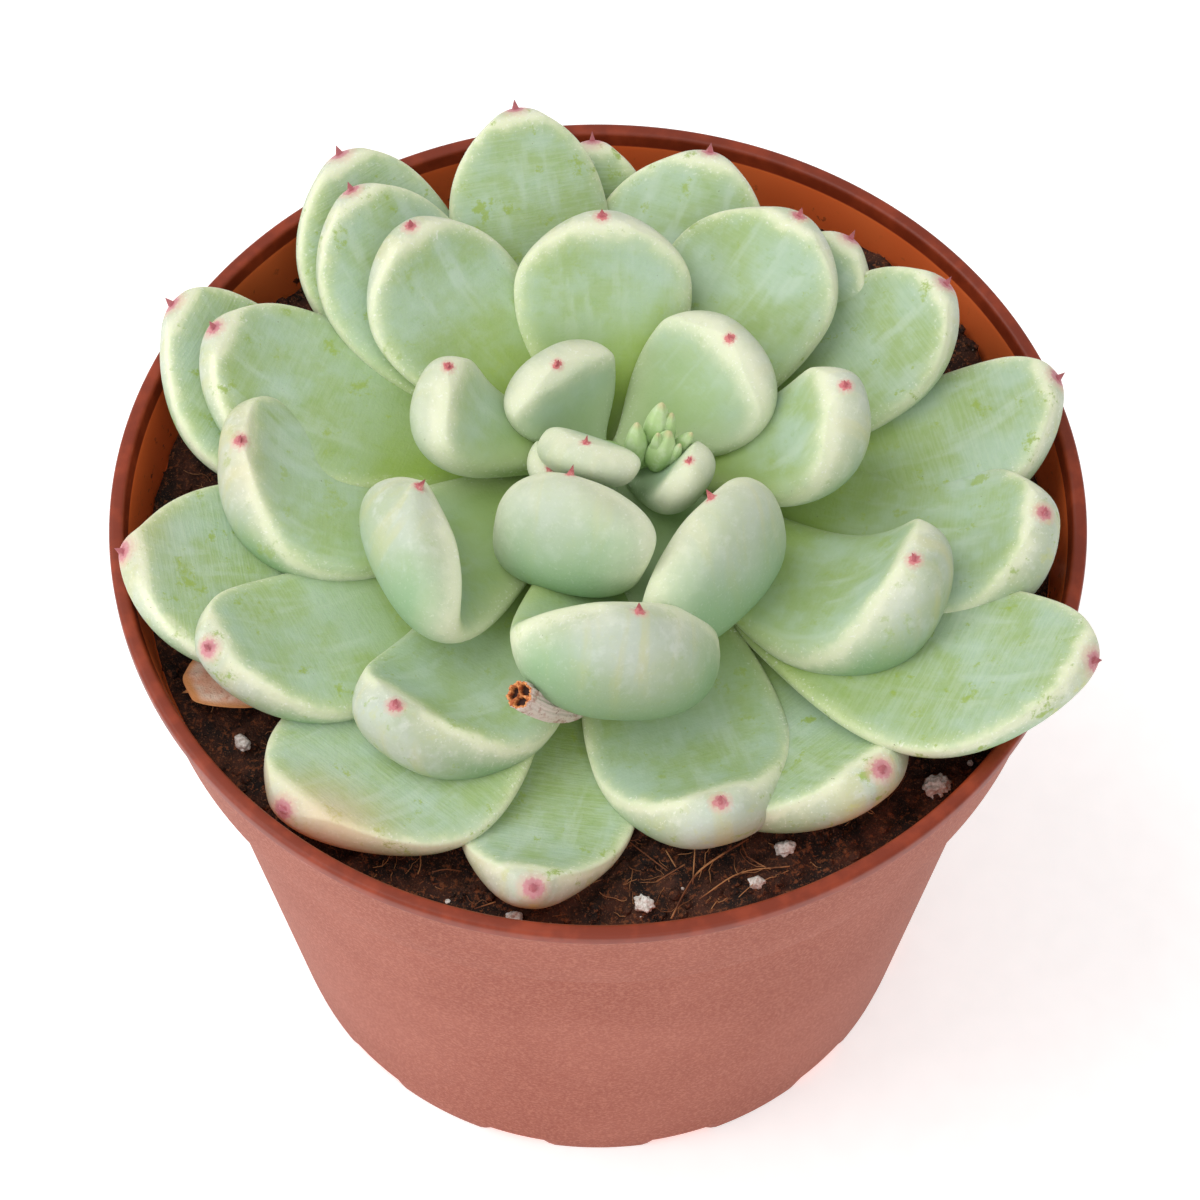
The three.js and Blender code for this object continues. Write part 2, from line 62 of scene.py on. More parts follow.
camera_data = bpy.data.cameras.new("camera")
camera_data.lens = LENS
camera_data.sensor_width = 36
camera = bpy.data.objects.new("camera", camera_data)
camera.location = CAMERA_PLACE
camera.rotation_euler = (math.radians(CAMERA_TILT), 0, 0)
bpy.context.scene.collection.objects.link(camera)
bpy.context.scene.camera = camera
print("camera at", [round(x, 3) for x in camera.location])

# %% [markdown]
# ## Light
# The photograph was lit softly from the upper left. The key is a large soft panel up there, a smaller one
# lights the left side, a weak one fills the front, and a white world does the rest. The standard view
# transform keeps the whites white and the greens as they were mixed.

# %% Light
def soft_panel(name, place, aim, size, watts, tint=(1, 1, 1)):
    data = bpy.data.lights.new(name, "AREA")
    data.shape = "DISK"
    data.size = size
    data.energy = watts
    data.color = tint
    lamp = bpy.data.objects.new(name, data)
    lamp.location = place
    lamp.rotation_euler = (Vector(aim) - Vector(place)).to_track_quat("-Z", "Y").to_euler()
    bpy.context.scene.collection.objects.link(lamp)


soft_panel("key", (-0.5, 0.1, 1.0), (0, 0, 0.09), 0.9, 4.6, (1, 0.985, 0.96))
soft_panel("side", (-1.0, -0.35, 0.5), (0, 0, 0.06), 0.6, 3.6)
soft_panel("fill", (0.15, -0.85, 0.75), (0, 0, 0.09), 0.7, 2.2)
world = bpy.data.worlds.new("studio")
world.use_nodes = True
world.node_tree.nodes["Background"].inputs["Color"].default_value = (1, 1, 1, 1)
world.node_tree.nodes["Background"].inputs["Strength"].default_value = 0.6
bpy.context.scene.world = world
bpy.context.scene.view_settings.view_transform = "Standard"
print("lamps:", len(bpy.data.lights))

# %% [markdown]
# ## Small helpers
# A colour is written as it looks on a screen, from 0 to 255, and turned into the linear values that Blender
# mixes. A mesh object is made from points and faces whose places are final, so its object stays at the
# origin.

# %% Helpers for meshes
def linear(value):
    """One channel, from its screen value to the linear value that Blender mixes."""
    share = value / 255
    return ((share + 0.055) / 1.055) ** 2.4 if value > 10 else share / 12.92


def paint(*rgb):
    return tuple(linear(value) for value in rgb) + (1,)


def new_object(name, mesh):
    piece = bpy.data.objects.new(name, mesh)
    bpy.context.scene.collection.objects.link(piece)
    return piece


def mesh_piece(name, points, faces, smooth=True):
    mesh = bpy.data.meshes.new(name)
    mesh.from_pydata([tuple(p) for p in points], [], faces)
    mesh.polygons.foreach_set("use_smooth", [smooth] * len(mesh.polygons))
    mesh.update()
    return new_object(name, mesh)


def store(mesh, name, values):
    attribute = mesh.attributes.new(name, "FLOAT", "POINT")
    attribute.data.foreach_set("value", np.asarray(values, dtype=np.float32))


def around(radius, turn):
    """Where a turn from the front ends on a circle about the pot's axis."""
    return radius * math.sin(turn), -radius * math.cos(turn)


def circle(sides):
    """Evenly spaced turns, once round."""
    return np.linspace(0, 2 * math.pi, sides, endpoint=False)


def unit(rows):
    return rows / np.linalg.norm(rows, axis=1)[:, None]


def ring_faces(rings, sides):
    """The faces of a row of rings, closed round and capped by one point at each end."""
    first, last = 0, 1 + rings * sides
    at = lambda i, j: 1 + i * sides + j % sides
    faces = [(first, at(0, j + 1), at(0, j)) for j in range(sides)]
    faces += [(last, at(rings - 1, j), at(rings - 1, j + 1)) for j in range(sides)]
    faces += [
        (at(i, j), at(i, j + 1), at(i + 1, j + 1), at(i + 1, j)) for i in range(rings - 1) for j in range(sides)
    ]
    return faces


def settle(piece, node=None, material=None):
    """Every piece rides on the one body; most stand for a node of the frame."""
    if material:
        piece.data.materials.append(material)
    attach(piece, "root")
    if node:
        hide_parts(node)


print("middle grey, as Blender mixes it:", round(paint(128, 128, 128)[0], 3))

# %% [markdown]
# Materials and scattered things are both trees of nodes, so one small class adds nodes to either. Most
# materials here are paints laid one over another. Each line says where a paint lies, how strong it is and
# its colour.

# %% Helpers for materials
class Nodes:
    """Nodes of a tree, added one line at a time."""

    family = ""

    def node(self, kind, inputs=(), **settings):
        made = self.tree.nodes.new(self.family + kind)
        for key, value in settings.items():
            setattr(made, key, value)
        for key, value in dict(inputs).items():
            self.feed(made.inputs[key], value)
        return made

    def feed(self, socket, value):
        if isinstance(value, bpy.types.NodeSocket):
            self.tree.links.new(value, socket)
        else:
            socket.default_value = value


class Finish(Nodes):
    family = "ShaderNode"

    def __init__(self, name):
        self.material = bpy.data.materials.new(name)
        self.material.use_nodes = True
        self.tree = self.material.node_tree
        self.shader = self.tree.nodes["Principled BSDF"]
        self.where = self.node("TexCoord").outputs["Object"]

    def attribute(self, name):
        return self.node("Attribute", attribute_name=name).outputs["Fac"]

    def noise(self, size_mm, detail=3, rough=0.55):
        inputs = {"Vector": self.where, "Scale": 1 / (size_mm * MM), "Detail": detail, "Roughness": rough}
        return self.node("TexNoise", inputs).outputs["Fac"]

    def stretched(self, vector, stretch, **inputs):
        """Noise on these coordinates, drawn out by this stretch."""
        longer = self.node("VectorMath", {0: vector, 1: stretch}, operation="MULTIPLY").outputs[0]
        return self.node("TexNoise", {"Vector": longer, **inputs}).outputs["Fac"]

    def ramp(self, value, low, high, start=0.0, end=1.0):
        inputs = {"Value": value, "From Min": low, "From Max": high, "To Min": start, "To Max": end}
        return self.node("MapRange", inputs, interpolation_type="SMOOTHSTEP").outputs["Result"]

    def math(self, operation, first, second=0.0):
        return self.node("Math", {0: first, 1: second}, operation=operation).outputs["Value"]

    def times(self, first, second):
        return self.math("MULTIPLY", first, second)

    def between(self, share, first, second):
        return self.node("Mix", {0: share, 2: first, 3: second}, data_type="FLOAT").outputs[0]

    def mix(self, share, first, second):
        return self.node("Mix", {0: share, 6: first, 7: second}, data_type="RGBA").outputs[2]

    def coat(self, below, share, strength, *rgb):
        """A paint over what is below, where the share is high, and as strong as this."""
        return self.mix(share if strength == 1 else self.times(share, strength), below, paint(*rgb))

    def coats(self, below, *layers):
        for layer in layers:
            below = self.coat(below, *layer)
        return below

    def bump(self, height, distance_mm, strength=1.0):
        inputs = {"Height": height, "Distance": distance_mm * MM, "Strength": strength}
        return self.node("Bump", inputs).outputs["Normal"]

    def surface(self, **inputs):
        for key, value in inputs.items():
            self.feed(self.shader.inputs[key.replace("_", " ")], value)
        return self.material


print("helpers ready")

# %% [markdown]
# ## The pot
# A thin plastic nursery pot: a tapered body on a notched foot ring, a wide collar and a rolled lip. It is a
# body of revolution, so one profile turned about the axis gives the whole wall.

# %% Sizes of the pot
RIM_RADIUS, POT_HEIGHT, WALL = 60, 90, 1.3
LIP_HEIGHT, LIP_WIDTH = 1.8, 1.8
COLLAR_FOOT, COLLAR_TOP_RADIUS, COLLAR_FOOT_RADIUS = 72, 59.2, 56.2
BODY_TOP_RADIUS, BASE_RADIUS, FOOT_WIDTH = 53.7, 41.6, 1.8
LEDGE, LEDGE_WIDTH, BARREL_TOP = 79, 0.8, 71
FLOOR_TOP, FLOOR_UNDERSIDE = 4.4, 3
NOTCHES, NOTCH_DEPTH, NOTCH_ANGLE = 12, 1.2, 12
NOTCH_TOP, NOTCH_INWARD, NOTCH_FLANK = 2, 1.2, 0.5
ARC_STEPS, LONGEST_STEP, TURNS = 6, 6, 360


def between(share, low, high):
    return low + (high - low) * share


def collar_inner(z):
    return between((z - COLLAR_FOOT) / (POT_HEIGHT - COLLAR_FOOT), COLLAR_FOOT_RADIUS, COLLAR_TOP_RADIUS) - WALL


def body_inner(z):
    return between(z / COLLAR_FOOT, BASE_RADIUS, BODY_TOP_RADIUS) - WALL


print("pot:", 2 * RIM_RADIUS, "mm across,", POT_HEIGHT, "mm high")

# %% [markdown]
# The frame's pot has few facets. Moulded plastic has no sharp edge, so here the same profile gets an arc at
# each corner, and its long sides are split to keep the faces short.

# %% The profile, with rounded corners
def rounded(corners):
    """Each corner is (radius, height, rounding); returns the outline with arcs at the corners."""
    outline = []
    for i, (r, z, round_by) in enumerate(corners):
        here = Vector((r, z))
        if round_by == 0:
            outline.append(here)
            continue
        to_last = (Vector(corners[i - 1][:2]) - here).normalized() * round_by
        to_next = (Vector(corners[i + 1][:2]) - here).normalized() * round_by
        for step in range(ARC_STEPS):
            t = step / (ARC_STEPS - 1)
            outline.append(here + to_last * (1 - t) ** 2 + to_next * t**2)
    return outline


def split_long(outline):
    result = [outline[0]]
    for a, b in zip(outline, outline[1:]):
        parts = max(1, math.ceil((b - a).length / LONGEST_STEP))
        result += [a.lerp(b, k / parts) for k in range(1, parts + 1)]
    return result


lip_foot = POT_HEIGHT - LIP_HEIGHT
pot_corners = [
    (0, FLOOR_UNDERSIDE, 0),
    (BASE_RADIUS - FOOT_WIDTH - 1, FLOOR_UNDERSIDE, 0.3),
    (BASE_RADIUS - FOOT_WIDTH, 0, 0.25),
    (BASE_RADIUS, 0, 0.3),
    (BASE_RADIUS + 0.5, 2.5, 0.5),
    (BODY_TOP_RADIUS, COLLAR_FOOT, 0.6),
    (COLLAR_FOOT_RADIUS, COLLAR_FOOT, 0.5),
    (COLLAR_TOP_RADIUS, lip_foot, 0.2),
    (RIM_RADIUS - 0.05, lip_foot, 0.25),
    (RIM_RADIUS, POT_HEIGHT, 0.6),
    (RIM_RADIUS - LIP_WIDTH, POT_HEIGHT, 0.5),
    (collar_inner(lip_foot), lip_foot - 0.4, 0.4),
    (collar_inner(LEDGE), LEDGE, 0.2),
    (collar_inner(LEDGE) - LEDGE_WIDTH, LEDGE, 0.2),
    (body_inner(BARREL_TOP), BARREL_TOP, 0.3),
    (body_inner(FLOOR_TOP + 1.5), FLOOR_TOP + 1.5, 0.5),
    (body_inner(FLOOR_TOP) - 1.5, FLOOR_TOP, 0.5),
    (0, FLOOR_TOP, 0),
]
pot_outline = split_long(rounded(pot_corners))
print("pot outline points:", len(pot_outline))

# %% [markdown]
# The profile is turned in one-degree steps. The notches in the foot ring need no boolean: the ring's lowest
# points are lifted where a notch is.

# %% Turn the profile
def foot_lift(radius, z, azimuth):
    """The height of a point of the foot ring, lifted where a notch is."""
    if z > NOTCH_TOP or radius < BASE_RADIUS - FOOT_WIDTH - NOTCH_INWARD:
        return z
    pitch = 360 / NOTCHES
    aside = abs(azimuth % pitch - pitch / 2)
    inside = min(1, max(0, (NOTCH_ANGLE / 2 + NOTCH_FLANK - aside)))
    return max(z, NOTCH_DEPTH * inside)


points = [(0, 0, pot_outline[0].y * MM)]
for radius, z in pot_outline[1:-1]:
    for step in range(TURNS):
        azimuth = step * 360 / TURNS
        x, y = around(radius, math.radians(azimuth))
        points.append((x * MM, y * MM, foot_lift(radius, z, azimuth) * MM))
points.append((0, 0, pot_outline[-1].y * MM))
pot = mesh_piece("pot_shell", points, ring_faces(len(pot_outline) - 2, TURNS))
print("pot faces:", len(pot.data.polygons))

# %% [markdown]
# Twelve short slots in the floor let water out. They are cut with one boolean, by a row of small boxes that
# point outwards, one between each pair of feet.

# %% Drainage slots
SLOT_WIDTH, SLOT_INNER, SLOT_OUTER, SLOT_CUT = 3.6, 26, 36, 4
slot_mesh = bmesh.new()
slot_size = (SLOT_WIDTH * MM, (SLOT_OUTER - SLOT_INNER) * MM, SLOT_CUT * MM, 1)
slot_place = (0, -(SLOT_INNER + SLOT_OUTER) / 2 * MM, (FLOOR_UNDERSIDE + FLOOR_TOP) / 2 * MM)
for i in range(NOTCHES):
    turn = Matrix.Rotation(math.radians((i + 0.5) * 360 / NOTCHES), 4, "Z")
    box = turn @ Matrix.Translation(slot_place) @ Matrix.Diagonal(slot_size)
    bmesh.ops.create_cube(slot_mesh, size=1, matrix=box)
slot_data = bpy.data.meshes.new("slots")
slot_mesh.to_mesh(slot_data)
slots = new_object("slots", slot_data)
cut = pot.modifiers.new("slots", "BOOLEAN")
cut.operation = "DIFFERENCE"
cut.object = slots
cut.solver = "EXACT"
bpy.context.view_layer.update()
cut_mesh = bpy.data.meshes.new_from_object(pot.evaluated_get(bpy.context.evaluated_depsgraph_get()))
pot.modifiers.remove(cut)
pot.data = cut_mesh
bpy.data.objects.remove(slots)
print("pot faces with slots:", len(pot.data.polygons))

# %% [markdown]
# The pot is injection-moulded plastic the colour of fired clay. The collar and the top of the body have a
# fine spark-eroded grain that looks dusty pink where the light grazes it; the lip is smooth and redder; the
# inside is smoother still, with a few dirt specks, and is painted a much lighter orange than the outside,
# as painted light for the light that shines through the thin wall. One material does all of it, with height
# and radius telling the zones apart.

# %% Finish of the pot
def pot_finish():
    m = Finish("terracotta_plastic")
    x, y, height = m.node("SeparateXYZ", {0: m.where}).outputs
    radius = m.math("SQRT", m.math("ADD", m.math("POWER", x, 2), m.math("POWER", y, 2)))

    def wall_middle(low, high, low_radius, high_radius):
        heights = {"From Min": low * MM, "From Max": high * MM}
        radii = {"To Min": (low_radius - WALL / 2) * MM, "To Max": (high_radius - WALL / 2) * MM}
        return m.node("MapRange", {"Value": height, **heights, **radii}).outputs["Result"]

    body = wall_middle(0, COLLAR_FOOT, BASE_RADIUS, BODY_TOP_RADIUS)
    collar = wall_middle(COLLAR_FOOT, POT_HEIGHT, COLLAR_FOOT_RADIUS, COLLAR_TOP_RADIUS)
    on_collar = m.math("GREATER_THAN", height, (COLLAR_FOOT - 0.2) * MM)
    outside = m.math("GREATER_THAN", radius, m.between(on_collar, body, collar))
    on_lip = m.ramp(height, (lip_foot - 0.15) * MM, (lip_foot + 0.1) * MM)
    broad = m.noise(26, detail=2)
    mottle = m.noise(3.2, detail=4)
    grain = m.noise(0.42, detail=2, rough=0.7)
    outer = m.coats(
        paint(144, 68, 46),
        (m.ramp(broad, 0.35, 0.7), 1, 154, 80, 60),
        (m.ramp(grain, 0.42, 0.66), 0.42, 196, 126, 104),
        (m.ramp(mottle, 0.5, 0.75), 0.25, 150, 72, 48),
    )
    lip = m.mix(m.ramp(mottle, 0.4, 0.7), paint(126, 46, 22), paint(148, 58, 30))
    # painted light: the inside is a much lighter orange than the outside, for the light that shines through the
    # thin wall
    inner = m.mix(m.ramp(broad, 0.3, 0.7), paint(250, 112, 56), paint(254, 128, 68))
    dirt = m.ramp(m.noise(1.3, detail=5), 0.6, 0.68)
    inner = m.coat(inner, dirt, m.ramp(height, 0.0875, 0.08), 58, 32, 22)
    colour = m.mix(on_lip, m.mix(outside, inner, outer), lip)
    smooth_zone = m.math("MAXIMUM", on_lip, m.math("SUBTRACT", 1.0, outside))
    bumpy = m.times(m.math("SUBTRACT", 1.0, smooth_zone), m.ramp(height, 0.02, 0.07, 0.35, 1.0))
    normal = m.bump(m.times(grain, bumpy), 0.1, 0.8)
    rough = m.between(smooth_zone, 0.62, 0.42)
    return m.surface(Base_Color=colour, Roughness=rough, Normal=normal, Specular_IOR_Level=0.35)


pot.data.materials.clear()
settle(pot, "pot", pot_finish())
print("pot finished")

# %% [markdown]
# ## The leaves
# Every leaf is one closed skin over rings that run along a curved midline: narrow where it leaves the stem,
# widest at two thirds, thick up to a blunt end with a small point. The frame's leaves follow the same rule
# with few rings, and are cut clear of one another. These skins are whole, so where leaves press together
# they run into each other. The table repeats the leaves' places, from the youngest to the oldest: the
# azimuth of the tip (0 to the front, 90 to the right), its reach from the stem, its height and the leaf's
# width, in mm. "leave" and "end" are the midline's slopes in degrees, "bend" is how far it keeps to its last
# slope, "sway", "skew" and "roll" turn it aside, and "ridge" lifts the ridge above the tip.

# %% Places of the leaves
LEAF_ROWS = [
    (330, 4.9, 108, 13.5, dict(end=110, thick=6.8, ridge=0.6, roll=12)),
    (305, 8.2, 103, 11, dict(end=95)),
    (58, 11.6, 107, 9.5, dict(leave=-8, end=98, bend=0.5)),
    (336, 10.5, 109, 20.5, dict(leave=-12, end=132, bend=1.08, sway=2.4, thick=7.4, roll=13)),
    (217, 9.8, 107, 15.5, dict(leave=25, end=100, bend=0.6, thick=6.9)),
    (47, 17, 107, 23, dict(leave=-12, end=128, bend=1.05, sway=-4.5, thick=7.4, skew=1.5)),
    (128, 19, 107, 19.5, dict(leave=20, end=100, bend=0.5)),
    (252, 20, 109, 12.5, dict(leave=10, end=102, bend=0.6, sway=2.5, thick=7)),
    (294, 24.4, 107, 23, dict(leave=-10, end=130, bend=0.75, sway=3, thick=6.3, skew=3.5, ridge=0.5)),
    (8, 28, 107, 25, dict(leave=-14, end=117, bend=0.75, sway=-2.6, thick=7.8, roll=-15, ridge=0.5)),
    (98, 29.1, 108, 15, dict(leave=5, end=102, bend=0.5, sway=-2.5, thick=5.6, ridge=0.65, skew=1.5)),
    (181, 29.5, 108, 22, dict(leave=15, end=85)),
    (65, 40.5, 102, 19, dict(leave=-8, end=108, bend=0.58, sway=-5, thick=5.9, ridge=0.42, skew=5)),
    (220, 37.5, 107, 21, dict(end=88, sway=1)),
    (269, 44.4, 101, 22, dict(leave=-6, end=100, bend=0.5, sway=3.5, thick=5.4, ridge=0.25, skew=-4)),
    (323, 41.6, 95, 22.5, dict(leave=-6, end=100, bend=0.42, sway=4, thick=7.2, skew=-2)),
    (143, 39.8, 105, 23, dict(end=70, sway=1)),
    (17, 46.2, 91, 24.5, dict(leave=-6, end=98, bend=0.31, thick=7.8)),
    (81, 53.5, 99, 22, dict(leave=-2, end=85, bend=0.45, sway=-1)),
    (164, 47.4, 100, 22, dict(end=60, sway=1)),
    (250, 51.4, 101, 23, dict(end=70, sway=1.5)),
    (221, 48.4, 104, 21, dict(end=65, sway=1.5)),
    (297.9, 53.9, 95, 21, dict(leave=-2, end=68, bend=0.26, sway=3, skew=-2, roll=-4)),
    (120, 48.6, 101, 19.5, dict(end=60)),
    (193, 50.6, 104, 20, dict(end=60, sway=1)),
    (103, 57.1, 97, 20, dict(end=50, sway=-3.5)),
    (318.5, 58, 88, 29, dict(leave=0, end=50, bend=0.15, sway=4.5, thick=7.2)),
    (39.5, 51.4, 91, 28, dict(leave=-3, end=85, bend=0.22, sway=-3, skew=-1, thick=7.4)),
    (137, 44.8, 99, 17, dict(end=55)),
    (64, 64.6, 97, 26, dict(leave=4, end=45, bend=0.15, sway=-5.5)),
    (281, 59.7, 95, 27, dict(leave=0, end=50, bend=0.18, sway=1.5, skew=4)),
    (351, 54.8, 88, 21.5, dict(leave=6, end=85, bend=0.15, thick=7.4, skew=-1.5)),
    (217, 55.7, 101, 22, dict(leave=4, end=60, sway=2.5)),
    (246, 59.1, 97, 23, dict(leave=3, end=50, bend=0.25, sway=5)),
    (182, 49.7, 97, 16, dict(leave=3, end=60)),
]
WITHERED = dict(azimuth=295, reach=56, tip=82.8, width=13, age=1, base=83.4, leave=0, end=4, thick=1.6)
STEM_AXIS = (1, 2)
STEM_TOP, STEM_FOOT_RADIUS, STEM_TOP_RADIUS = 100, 8, 2.2
LEAF_BASE_TOP, LEAF_BASE_SPAN = 99, 15.5
LEAVES = [
    dict(azimuth=azimuth, reach=reach, tip=tip, width=width, age=i / (len(LEAF_ROWS) - 1), **shape)
    for i, (azimuth, reach, tip, width, shape) in enumerate(LEAF_ROWS)
]
print("leaves:", len(LEAVES))

# %% [markdown]
# A leaf's midline is a Bezier curve in the upright plane of its azimuth. It leaves the stem at one slope
# and ends at another, often past upright, because the young leaves curl inwards. Points are spaced evenly
# along it by measuring its length on a fine sample.

# %% Midline of a leaf
SAMPLES, LEAST_HANDLE, EARLY_TURN = 400, 0.4, 0.6


def stem_radius(z):
    shoulder = LEAF_BASE_TOP - LEAF_BASE_SPAN
    share = min(1, max(0, (z - shoulder) / (STEM_TOP - shoulder)))
    return between(share, STEM_FOOT_RADIUS, STEM_TOP_RADIUS)


def bezier(start, leave, end, arrive, reach, bend):
    """A finely sampled curve and its length up to each sample; the slopes at its ends are in radians."""
    second = start + reach * np.array([math.cos(leave), math.sin(leave)])
    third = end - bend * np.array([math.cos(arrive), math.sin(arrive)])
    t = np.linspace(0, 1, SAMPLES)[:, None]
    curve = (1 - t) ** 3 * start + 3 * (1 - t) ** 2 * t * second + 3 * (1 - t) * t**2 * third + t**3 * end
    steps = np.linalg.norm(np.diff(curve, axis=0), axis=1)
    return curve, np.concatenate([[0], np.cumsum(steps)])


def read_at(wanted, places, curve):
    """A curve, known at these places, read at the wanted ones."""
    return np.stack([np.interp(wanted, places, curve[:, k]) for k in (0, 1)], axis=1)


def across(along):
    return np.stack([-along[:, 1], along[:, 0]], axis=1)


def midline(leaf, shares):
    """Points and directions (outwards, up) at the given shares of the midline's length."""
    base = leaf.get("base", LEAF_BASE_TOP - LEAF_BASE_SPAN * leaf["age"])
    start = np.array([stem_radius(base) - 0.5, base])
    end = np.array([leaf["reach"], leaf["tip"]], dtype=float)
    leave = math.radians(leaf.get("leave", between(leaf["age"] ** EARLY_TURN, 60, -2)))
    span = np.linalg.norm(end - start)
    bend = leaf.get("bend", 0.3) * span
    reach = max(bend, LEAST_HANDLE * span)
    curve, length = bezier(start, leave, end, math.radians(leaf["end"]), reach, bend)
    slopes = unit(np.gradient(curve, axis=0))
    wanted = np.asarray(shares) * length[-1]
    along = unit(read_at(wanted, length, slopes))
    return read_at(wanted, length, curve), along, length[-1]


print("leaf 10 is", round(float(midline(LEAVES[9], [0, 1])[2]), 1), "mm long")

# %% [markdown]
# From above a leaf is a spoon with a blunt end. From its side it is thin at the foot and swells towards the
# end, where its upper face stops at a ridge and a short end face drops to the tip. Both come from a few
# curves, so all the leaves share one form and differ only by the table.

# %% Outline and thickness along a leaf
WIDEST, BLUNT, RIDGE = 0.7, 0.8, 0.97  # places along the leaf, as shares of its length
UPPER_SHARE, LOWER_SHARE, EDGE_SHARE = 0.42, 0.58, 0.14
# from the tip to the ridge, as shares of the thickness: up, for the youngest and the oldest, and back
RIDGE_UP, RIDGE_BACK = (0.2, 0.42), 0.1
THICK, NARROW_THINS = 6.4, (0.45, 36)
CURL_STARTS, CURL_SPAN = 105, 25
FLAT_TURNS, FLAT_HANDLES, CURLED_HANDLES = (0.6, 0.45), (0.4, 0.3), 0.85
END_BULGE = 0.45
# mm that the upper outline's corners are rounded over: the least, the youngest leaf's, and its fall with age
SOFTENED, SOFTER_YOUNG, YOUNG_FADES = 0.9, 2.2, 3.5


def outline(s):
    rising = 0.26 + 0.74 * np.sin(np.minimum(s / WIDEST, 1) * math.pi / 2) ** 1.3
    u = np.clip((s - WIDEST) / (1 - WIDEST), 0, 1)
    return np.where(s < WIDEST, rising, (1 - u**2.3) ** 0.68)


def swell(s):
    return 0.36 + 0.64 * np.sin(math.pi / 2 * np.minimum(s / BLUNT, 1)) ** 1.3


def smoothed(curve, spacing, reach):
    """Rounds the corners of a curve by averaging it over a short reach, with both ends held."""
    count = max(1, int(reach / spacing))
    window = np.hanning(2 * count + 3)
    padded = np.vstack([2 * curve[0] - curve[count + 1:0:-1], curve, 2 * curve[-1] - curve[-2:-count - 3:-1]])
    return np.stack([np.convolve(padded[:, k], window / window.sum(), "valid") for k in (0, 1)], axis=1)


def side_profiles(leaf):
    """The upper and the lower outline of a leaf seen from its side, sampled evenly along its midline."""
    s = np.linspace(0, 1, SAMPLES)
    centre, along, length = midline(leaf, s)
    above = across(along)
    thick = leaf.get("thick", THICK) * min(1, NARROW_THINS[0] + leaf["width"] / NARROW_THINS[1])
    u = np.clip((s - BLUNT) / (1 - BLUNT), 0, 1)
    lower = centre - above * (thick * LOWER_SHARE * swell(s) * (1 - u**2.2) ** 0.5)[:, None]
    foot = centre[0] + above[0] * thick * UPPER_SHARE * swell(0)
    up = leaf.get("ridge", between(leaf["age"] ** 0.5, *RIDGE_UP))
    ridge = centre[-1] + above[-1] * thick * up - along[-1] * thick * RIDGE_BACK
    chord = ridge - foot
    span = np.linalg.norm(chord)
    rise = math.atan2(chord[1], chord[0])
    # a flat leaf's upper face follows the chord, a curled leaf's follows the midline
    curl = min(1, max(0, (leaf["end"] - CURL_STARTS) / CURL_SPAN))
    first, last = (between(curl, turn, 1) for turn in FLAT_TURNS)
    leave = between(first, rise, math.atan2(along[0, 1], along[0, 0]))
    arrive = between(last, rise, math.radians(leaf["end"]))
    bend = leaf.get("bend", 0.3) * span
    reach = between(curl, FLAT_HANDLES[0] * span, CURLED_HANDLES * max(bend, LEAST_HANDLE * span))
    bend = between(curl, FLAT_HANDLES[1] * span, CURLED_HANDLES * bend)
    face, far = bezier(foot, leave, ridge, arrive, reach, bend)
    crest = int(RIDGE * (SAMPLES - 1))
    face = read_at(np.linspace(0, far[-1], crest + 1), far, face)
    # beyond the ridge, a bulging end face leads down to the tip
    t = np.linspace(0, 1, SAMPLES - crest)[:, None]
    drop = centre[-1] - ridge
    outwards = np.array([-drop[1], drop[0]]) / np.linalg.norm(drop)
    end_face = ridge + drop * t + outwards * 4 * t * (1 - t) * END_BULGE
    soft = max(SOFTENED, SOFTER_YOUNG - YOUNG_FADES * leaf["age"])
    return s, smoothed(np.vstack([face, end_face[1:]]), length / SAMPLES, soft), lower, length


print("widest at", WIDEST, "of the length:", round(float(outline(np.array([WIDEST]))[0]), 3))

# %% [markdown]
# Each ring of the skin is a fuller ellipse between the upper and the lower outline, and the rings lie closer
# together towards the end, where the form turns quickly. The finish needs to know where it is on a leaf, so
# each point also keeps its place along it, its distance from the ridge and from the tip, and the leaf's age.

# %% The skin of a leaf
RINGS, SIDES, CROWDED, LAST_RING = 60, 48, 1.8, 0.9985
BOXY_ABOVE, BOXY_BELOW, BOXIER = 0.62, 0.8, 0.08  # under 1, a section is fuller than an ellipse
EDGE_FROM, EDGE_OVER, CUP = 0.45, 0.45, 0.1
MUCRO, MUCRO_FULL, SUNK_FOOT = 1.3, 16, 0.2
BLUSH_WIDTH, BLUSH_PLACE, BLUSH_LENGTH = 7, 0.97, 0.1


